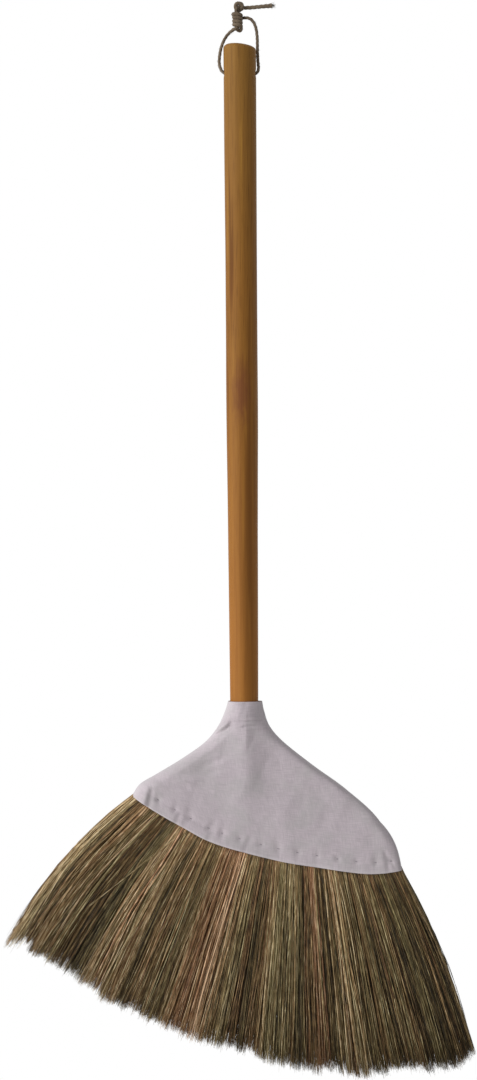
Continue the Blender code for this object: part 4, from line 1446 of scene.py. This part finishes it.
@dataclass
class Handle:
    """The turned pole with its slanted dome and its left-right hole for the cord."""

    head: Head
    sides: int = 96
    # The dome's profile from its middle: shares of the top radius, and shares of its height down.
    dome: tuple = (
        (0.0, 0.0), (0.25, 0.03), (0.45, 0.09), (0.75, 0.28), (0.92, 0.55), (0.985, 0.80), (1.0, 1.0),
    )
    dome_rows: int = 22
    dome_height: float = 5.5 * MM
    dome_slant: float = 0.12
    slant_reach: float = 12 * MM
    body_rows: int = 120
    bevel: float = 1.0 * MM
    hole_flare: float = 0.7 * MM
    flare_depth: float = 0.8 * MM
    hole_sides: int = 40
    # A turned pole is never quite round: how its radius changes, the longest and shortest wave of
    # that, the radius at which they are laid round it, and the height that they fill.
    uneven: float = 0.10 * MM
    uneven_waves: tuple[float, float] = (0.30, 0.06)
    uneven_radius: float = 16 * MM
    uneven_height: float = 0.72
    # Edges sharper than this many degrees stay sharp.
    sharp: float = 38.0

    def build(self, finish: bpy.types.Material) -> bpy.types.Object:
        """Makes the pole and cuts its hole.

        A row of the pole is a circle of the profile's radius, with a slow random change of radius.
        The whole leans from its top to its end about the hole's centre.

        Args:
            finish: its material.

        Returns:
            The pole.
        """
        top_x, top_z = self.head.handle_top
        end_x, end_z = self.head.handle_end
        crown = through(np.array(self.dome), np.linspace(0, 1, self.dome_rows)[1:])
        radius = crown[:, 0] * self.head.handle_radii[-1]
        height = top_z - crown[:, 1] * self.dome_height
        body = np.linspace(height[-1], end_z + self.bevel, self.body_rows)[1:]
        foot = [self.head.handle_radii[0] - self.bevel]
        radius = np.concatenate([radius, self.head.handle_radius(body), foot])
        height = np.concatenate([height, body, [end_z]])
        angle = np.arange(self.sides) * 2 * np.pi / self.sides
        rr, aa = np.meshgrid(radius, angle, indexing="ij")
        zz = np.broadcast_to(height[:, None], rr.shape)
        within = np.sin(np.pi * np.clip((top_z - zz) / self.uneven_height, 0, 1))
        uneven = relief(aa * self.uneven_radius, zz, 5, *self.uneven_waves) * within
        rr = rr + self.uneven * uneven
        x, y = rr * np.cos(aa), rr * np.sin(aa)
        z = zz - self.dome_slant * x * np.clip(1 - (top_z - zz) / self.slant_reach, 0.0, None)
        ends = np.array([[0.0, 0.0, top_z], [0.0, 0.0, end_z]])
        points = np.vstack([np.stack([x, y, z], axis=-1).reshape(-1, 3), ends]) - (0.0, 0.0, HOLE_HEIGHT)
        lean = math.atan2(top_x - end_x, top_z - end_z)
        c, s = math.cos(lean), math.sin(lean)
        turn = np.array([[c, 0, s], [0, 1, 0], [-s, 0, c]])
        centre = np.array([float(self.head.handle_axis(np.array(HOLE_HEIGHT))), 0.0, HOLE_HEIGHT])
        made = make_piece("pole", points @ turn.T + centre, *tube_faces(len(radius), self.sides))
        self.drill(made, centre)
        made.data.materials.append(finish)
        made.data.set_sharp_from_angle(angle=math.radians(self.sharp))
        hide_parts("handle")
        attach(made, "broom")
        log.info("%s: %d points", made.name, len(made.data.vertices))
        return made

    def drill(self, pole: bpy.types.Object, centre: Array) -> None:
        """Cuts the cross hole, which flares a little at both mouths.

        The cutter's radius is the hole's plus the flare times exp(-depth / flare_depth), where the
        depth is measured from the pole's side along the hole.

        Args:
            pole: the pole, which is changed.
            centre: the hole's centre.
        """
        reach = self.head.handle_radii[-1]
        x = np.linspace(-1, 1, 41) * (reach + 2 * MM)
        under = np.clip(reach - np.abs(x), 0.0, None)
        radius = HOLE_RADIUS + self.hole_flare * np.exp(-under / self.flare_depth)
        angle = np.arange(self.hole_sides) * 2 * np.pi / self.hole_sides
        y, z = radius[:, None] * np.cos(angle), radius[:, None] * np.sin(angle)
        rows = np.stack([np.broadcast_to(x[:, None], y.shape), y, z], axis=-1).reshape(-1, 3)
        ends = np.array([[x[0], 0.0, 0.0], [x[-1], 0.0, 0.0]])
        points = np.vstack([rows, ends]) + centre
        cutter = make_piece("hole_cutter", points, *tube_faces(len(x), self.hole_sides))
        bore = pole.modifiers.new("hole", "BOOLEAN")
        bore.operation = "DIFFERENCE"
        bore.solver = "EXACT"
        bore.object = cutter
        drilled = bpy.data.meshes.new_from_object(pole.evaluated_get(bpy.context.evaluated_depsgraph_get()))
        pole.modifiers.clear()
        pole.data = drilled
        bpy.data.objects.remove(cutter, do_unlink=True)


@dataclass
class HangingCord:
    """One length of twine through the pole's hole and up both sides of it, its ends in one knot."""

    head: Head
    diameter: float = 3.0 * MM
    length: float = 0.3655
    knot_x: float = -0.0097
    knot_turns: float = 3.5
    turn_steps: int = 20
    knot_pitch: float = 3.4 * MM
    coil_radius: float = 3.4 * MM
    core: float = 1.8 * MM
    knot_top: float = 5.8 * MM
    plies: int = 3
    lay_length: float = 13 * MM
    # The least radius between two plies, and where the hairs start, in diameters.
    groove: float = 0.44
    hair_start: float = 0.42
    ring_sides: int = 18
    spacing: float = 0.35 * MM
    hairs: int = 900
    frayed: int = 70
    hair_gap: float = 0.2 * MM

    def route(self) -> Array:
        """The route from one tail's end, through the knot and the hole, to the other tail's end.

        Its points follow the twine where the photograph shows it, and lead on where it doesn't. The
        knot's turns are a helix of coil_radius about knot_x. It is widened to front and back by
        core * tanh(2.5 sin(turn)), to go round both strands inside.

        Returns:
            The route's points.
        """
        c, x = self.core, self.knot_x
        first = [
            (0.0237, 0.0010, 0.0140), (0.0160, 0.0014, 0.0135), (0.0090, 0.0019, 0.0129),
            (0.0024, 0.0024, 0.0124), (-0.0034, 0.0026, 0.0123), (-0.0068, 0.0025, 0.0124),
            (-0.0094, 0.0022, 0.0121), (-0.0106, 0.0019, 0.0105), (-0.0105, c, 0.0082),
            (x, c, 0.0056), (x, c, 0.0010), (x, c, -0.0035),
            (-0.0099, 0.0022, -0.0070), (-0.0092, 0.0034, -0.0093), (-0.0074, 0.0036, -0.0097),
            (-0.0062, 0.0023, -0.0081),
        ]
        steps = int(self.turn_steps * self.knot_turns)
        step = np.arange(steps, -1, -1) / steps
        turn = np.pi + 2 * np.pi * self.knot_turns * step
        coil = np.stack(
            [
                x + self.coil_radius * np.cos(turn),
                self.coil_radius * np.sin(turn) + c * np.tanh(2.5 * np.sin(turn)),
                self.knot_top - self.knot_pitch * self.knot_turns * step,
            ],
            axis=1,
        )
        loop = [
            (-0.0139, 0.0030, 0.0061), (-0.0134, 0.0066, 0.0055), (-0.0103, 0.0090, 0.0046),
            (-0.0068, 0.0082, 0.0037), (-0.0040, 0.0052, 0.0030), (-0.0020, 0.0022, 0.0025),
            (0.0000, 0.0000, 0.0020), (0.0028, 0.0000, 0.0010), (0.0057, 0.0006, -0.0018),
            (0.0080, 0.0014, -0.0070), (0.0092, 0.0030, -0.0140), (0.0096, 0.0042, -0.0220),
            (0.0097, 0.0048, -0.0300), (0.0100, 0.0044, -0.0370), (0.0104, 0.0028, -0.0425),
            (0.0106, 0.0010, -0.0470), (0.0095, 0.0000, -0.0504), (0.0066, 0.0000, -0.0524),
            (0.0020, 0.0000, -0.0532), (-0.0035, 0.0000, -0.0535), (-0.0100, 0.0000, -0.0535),
            (-0.0155, 0.0000, -0.0532), (-0.0206, 0.0000, -0.0522), (-0.0246, 0.0000, -0.0495),
            (-0.0266, 0.0000, -0.0455), (-0.0273, 0.0000, -0.0410), (-0.0271, 0.0000, -0.0360),
            (-0.0263, 0.0000, -0.0305), (-0.0249, 0.0000, -0.0250), (-0.0225, 0.0000, -0.0193),
            (-0.0196, -0.0003, -0.0148), (-0.0164, -0.0007, -0.0115), (-0.0136, -0.0011, -0.0095),
            (-0.0109, -0.0014, -0.0080), (-0.0097, -0.0017, -0.0052), (x, -c, -0.0010),
            (x, -c, 0.0058), (-0.0090, -0.0020, 0.0083), (-0.0073, -0.0023, 0.0093),
            (-0.0057, -0.0026, 0.0107), (-0.0052, -0.0029, 0.0126), (-0.0059, -0.0032, 0.0144),
            (-0.0076, -0.0035, 0.0154), (-0.0096, -0.0038, 0.0152), (-0.0111, -0.0041, 0.0139),
            (-0.0115, -0.0044, 0.0120), (-0.0108, -0.0048, 0.0103), (-0.0096, -0.0052, 0.0093),
        ]
        return np.vstack([first, coil, loop])

    def fullness(self, line: Array, run: Array) -> Array:
        """How far the twine is opened up: slack in the knot's turns and unlaid at its frayed end.

        Args:
            line: the centre line.
            run: the length up to each of its points.

        Returns:
            A factor of its radius at each point.
        """
        off_knot = np.hypot(line[:, 0] - self.knot_x, line[:, 1])
        beside = 1 - ease(5.5 * MM, 7.5 * MM, off_knot)
        within = ease(-12.0 * MM, -9.0 * MM, line[:, 2])
        tail = 1 - ease(24 * MM, 32 * MM, run)
        ring = beside * ease(6.5 * MM, 8.5 * MM, line[:, 2])
        return 1.06 + 0.20 * beside * within + 0.16 * ring + 0.28 * tail + 0.40 * np.exp(-run / (3 * MM))

    def build(self, finish: bpy.types.Material) -> bpy.types.Object:
        """Makes the twine and its loose fibre.

        A ring's radius is that of the nearest of three plies. Each is a circle of a quarter of the
        diameter, as far off the middle, and the plies turn once round the twine in its lay length.

        Args:
            finish: its material.

        Returns:
            The twine.
        """
        line = smooth_line(self.route(), self.spacing)
        _, across, other = carried_frames(line)
        run = np.linspace(0, 1, len(line)) * self.length
        angle = np.arange(self.ring_sides) * 2 * np.pi / self.ring_sides
        turned = angle[None] - 2 * np.pi * run[:, None] / self.lay_length
        off = (turned + np.pi / self.plies) % (2 * np.pi / self.plies) - np.pi / self.plies
        ply = self.diameter / 4
        lobe = ply * np.cos(off) + np.sqrt(np.clip(ply**2 - (ply * np.sin(off)) ** 2, 0.0, None))
        lobe = np.maximum(lobe, self.groove * self.diameter) * self.fullness(line, run)[:, None]
        ring = angle[None, :, None]
        spokes = np.cos(ring) * across[:, None] + np.sin(ring) * other[:, None]
        rings = line[:, None] + lobe[..., None] * spokes
        points = np.vstack([rings.reshape(-1, 3), line[:1], line[-1:]])
        made = make_piece("hanging_twine", points, *tube_faces(len(line), self.ring_sides))
        made.data.materials.append(finish)
        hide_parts("hanging_cord")
        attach(made, "loop")
        fibre = self.loose_fibre(line, finish)
        log.info("%s: %d rings", made.name, len(line))
        return made

    def loose_fibre(self, line: Array, finish: bpy.types.Material) -> bpy.types.Object:
        """Makes the short hairs along the twine and the frayed tuft at both of its ends.

        A hair starts on the surface and leans along the twine. A frayed strand starts at the end and
        spreads as it leaves it. Both bend with the square of the way along them.

        Args:
            line: the twine's centre line.
            finish: the twine's material.

        Returns:
            All the loose fibre as one piece.
        """
        draw = np.random.default_rng(77)
        tangent, across, other = carried_frames(line)
        at = draw.integers(2, len(line) - 2, self.hairs)
        turn = draw.uniform(0, 2 * np.pi, (self.hairs, 1))
        out = np.cos(turn) * across[at] + np.sin(turn) * other[at]
        start = line[at] + out * self.diameter * self.hair_start
        sign = draw.choice([-1.0, 1.0], (self.hairs, 1))
        lean = tangent[at] * sign * draw.uniform(0.3, 1.4, (self.hairs, 1))
        aim = unit(out * draw.uniform(0.3, 1.0, (self.hairs, 1)) + lean)
        reach = draw.uniform(0.7, 2.4, (self.hairs, 1)) * MM
        curl = draw.normal(0, 0.5, (self.hairs, 3))
        tails = []
        for end, way in ((0, -1.0), (len(line) - 1, 1.0)):
            spread = draw.normal(0, 0.24, (self.frayed, 2))
            base = draw.normal(0, 0.30, (self.frayed, 2)) * self.diameter
            root = line[end] + base[:, :1] * across[end] + base[:, 1:] * other[end] - way * tangent[end] * MM
            away = unit(way * tangent[end] + spread[:, :1] * across[end] + spread[:, 1:] * other[end])
            long = draw.uniform(2.0, 4.6, (self.frayed, 1)) * MM
            tails.append((root, away, long, draw.normal(0, 0.3, (self.frayed, 3))))
        start, aim, reach, curl = (np.vstack(group) for group in zip((start, aim, reach, curl), *tails))
        share = np.linspace(0, 1, 4)[None, :, None]
        paths = start[:, None] + (aim * reach)[:, None] * share + (curl * reach)[:, None] * share**2 * 0.4
        thicker = np.where(np.arange(len(start)) < self.hairs, 1.0, 1.6)
        radii = np.linspace(0.07, 0.03, 4)[None] * MM * thicker[:, None]
        spin = draw.uniform(0, 2 * np.pi, len(start))
        # A hair that would run into the pole lies flat in the real twine, and is left out.
        pole = self.head.pole_depth(paths[..., 0], paths[..., 2])
        clear = ~((pole > 0) & (np.abs(paths[..., 1]) < pole + self.hair_gap)).any(axis=1)
        points, walls, ends = fibre_mesh(paths[clear], radii[clear], spin[clear])
        made = make_piece("twine_fibre", points, walls, ends)
        made.data.materials.append(finish)
        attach(made, "loop")
        log.info("%s: %d hairs", made.name, clear.sum())
        return made


@dataclass
class Studio:
    """A pale floor, a white backdrop, one large soft lamp from the left, and the camera."""

    distance: float = 2.8
    frame_height: float = PHOTO_HEIGHT * PIXEL
    aim: tuple[float, float] = (-0.0087, -0.5028)
    sensor: float = 36.0
    key_strength: float = 2.9
    key_angle: float = 70.0
    key_from: tuple[float, float, float] = (-0.84, -0.50, 0.22)
    fill: float = 0.36
    floor_height: float = -1.30
    floor_radius: float = 1.45
    floor_sides: int = 96

    def camera(self) -> None:
        """Sets the camera level with the middle of the photograph, looking along +Y."""
        lens = bpy.data.cameras.new("photograph")
        lens.sensor_width = self.sensor
        lens.lens = self.sensor * self.distance / self.frame_height
        lens.clip_start, lens.clip_end = 0.05, 50.0
        made = bpy.data.objects.new("photograph", lens)
        made.location = (self.aim[0], -self.distance, self.aim[1])
        made.rotation_euler = (math.pi / 2, 0.0, 0.0)
        bpy.context.scene.collection.objects.link(made)
        bpy.context.scene.camera = made

    def light(self) -> None:
        """Sets the lamp, and a world that lights softly and shows as white."""
        lamp = bpy.data.lights.new("key", "SUN")
        lamp.energy = self.key_strength
        lamp.angle = math.radians(self.key_angle)
        made = bpy.data.objects.new("key", lamp)
        x, y, z = self.key_from
        made.rotation_euler = (math.atan2(math.hypot(x, y), z), 0.0, math.atan2(x, -y))
        bpy.context.scene.collection.objects.link(made)
        world = bpy.data.worlds.new("studio")
        bpy.context.scene.world = world
        world.use_nodes = True
        tree = world.node_tree
        tree.nodes.clear()
        rays = add(tree, "ShaderNodeLightPath").outputs
        seen = rays["Is Camera Ray"]
        for kind in ("Is Glossy Ray", "Is Transmission Ray"):
            seen = add(tree, "ShaderNodeMath", {0: seen, 1: rays[kind]}, operation="MAXIMUM").outputs[0]
        soft, white = (
            add(tree, "ShaderNodeBackground", {"Color": "#FFFFFF", "Strength": strength}).outputs[0]
            for strength in (self.fill, 1.0)
        )
        both = add(tree, "ShaderNodeMixShader", {0: seen, 1: soft, 2: white})
        add(tree, "ShaderNodeOutputWorld", {"Surface": both.outputs[0]})

    def floor(self) -> None:
        """Lays a round pale floor well below the hanging broom, out of the photograph's view."""
        angle = np.arange(self.floor_sides) * 2 * np.pi / self.floor_sides
        rim = np.stack([np.cos(angle), np.sin(angle), 0 * angle], axis=1) * self.floor_radius
        rim[:, 2] = self.floor_height
        made = make_piece("floor", rim, np.arange(self.floor_sides)[None])
        paint = bpy.data.materials.new("pale_floor")
        paint.use_nodes = True
        shader = paint.node_tree.nodes["Principled BSDF"]
        shader.inputs["Base Color"].default_value = linear("#EDEBE8")
        shader.inputs["Roughness"].default_value = 0.9
        made.data.materials.append(paint)

    def build(self) -> None:
        """Sets the camera, the light, the floor and the plain view transform."""
        self.camera()
        self.light()
        self.floor()
        bpy.context.scene.view_settings.view_transform = "Standard"


def main() -> None:
    """Builds the studio, the cord, the pole, the cover and the straw, in that order."""
    logging.basicConfig(level=logging.INFO, format="%(name)s: %(message)s")
    Studio().build()
    head = Head()
    twine = Twine("laid_twine", (("Roughness", 0.95), ("IOR", 1.5))).material()
    HangingCord(head).build(twine)
    wood = VarnishedWood("varnished_hardwood", (("IOR", 1.45), ("Specular IOR Level", 0.14)))
    Handle(head).build(wood.material())
    calico = Calico("calico", (("Roughness", 0.95), ("IOR", 1.45), ("Sheen Weight", 0.15))).material()
    worn = (("Roughness", 0.9), ("IOR", 1.5))
    thread = Twine("grey_thread", worn, pale="#A39BA3", dark="#6F666E").material()
    for side in Side:
        cover = CottonCover(head, side)
        cover.build(calico)
        cover.stitches(thread)
    even = (("Roughness", 0.6), ("IOR", 1.45))
    grasses = {
        "straw_olive": DriedGrass("olive_grass", even, warmth=-0.06).material(),
        "straw_tan": DriedGrass("tan_grass", even, warmth=0.05).material(),
        "straw_brown": DriedGrass("brown_grass", even).material(),
    }
    for number in range(1, BUNDLES + 1):
        slot = list(grasses)[(number - 1) % len(grasses)]
        StrawBundle(head, number).build(grasses[slot], slot)
    cord = Twine("binding_cord", worn, pale="#B7A488", dark="#7C6B52").material()
    for name in ("neck_binding", "row_binding_upper", "row_binding_lower"):
        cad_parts[name].material_slots[0].material = cord
        log.info("%s: kept, with its own cord finish", name)


if __name__ == "__main__":
    main()
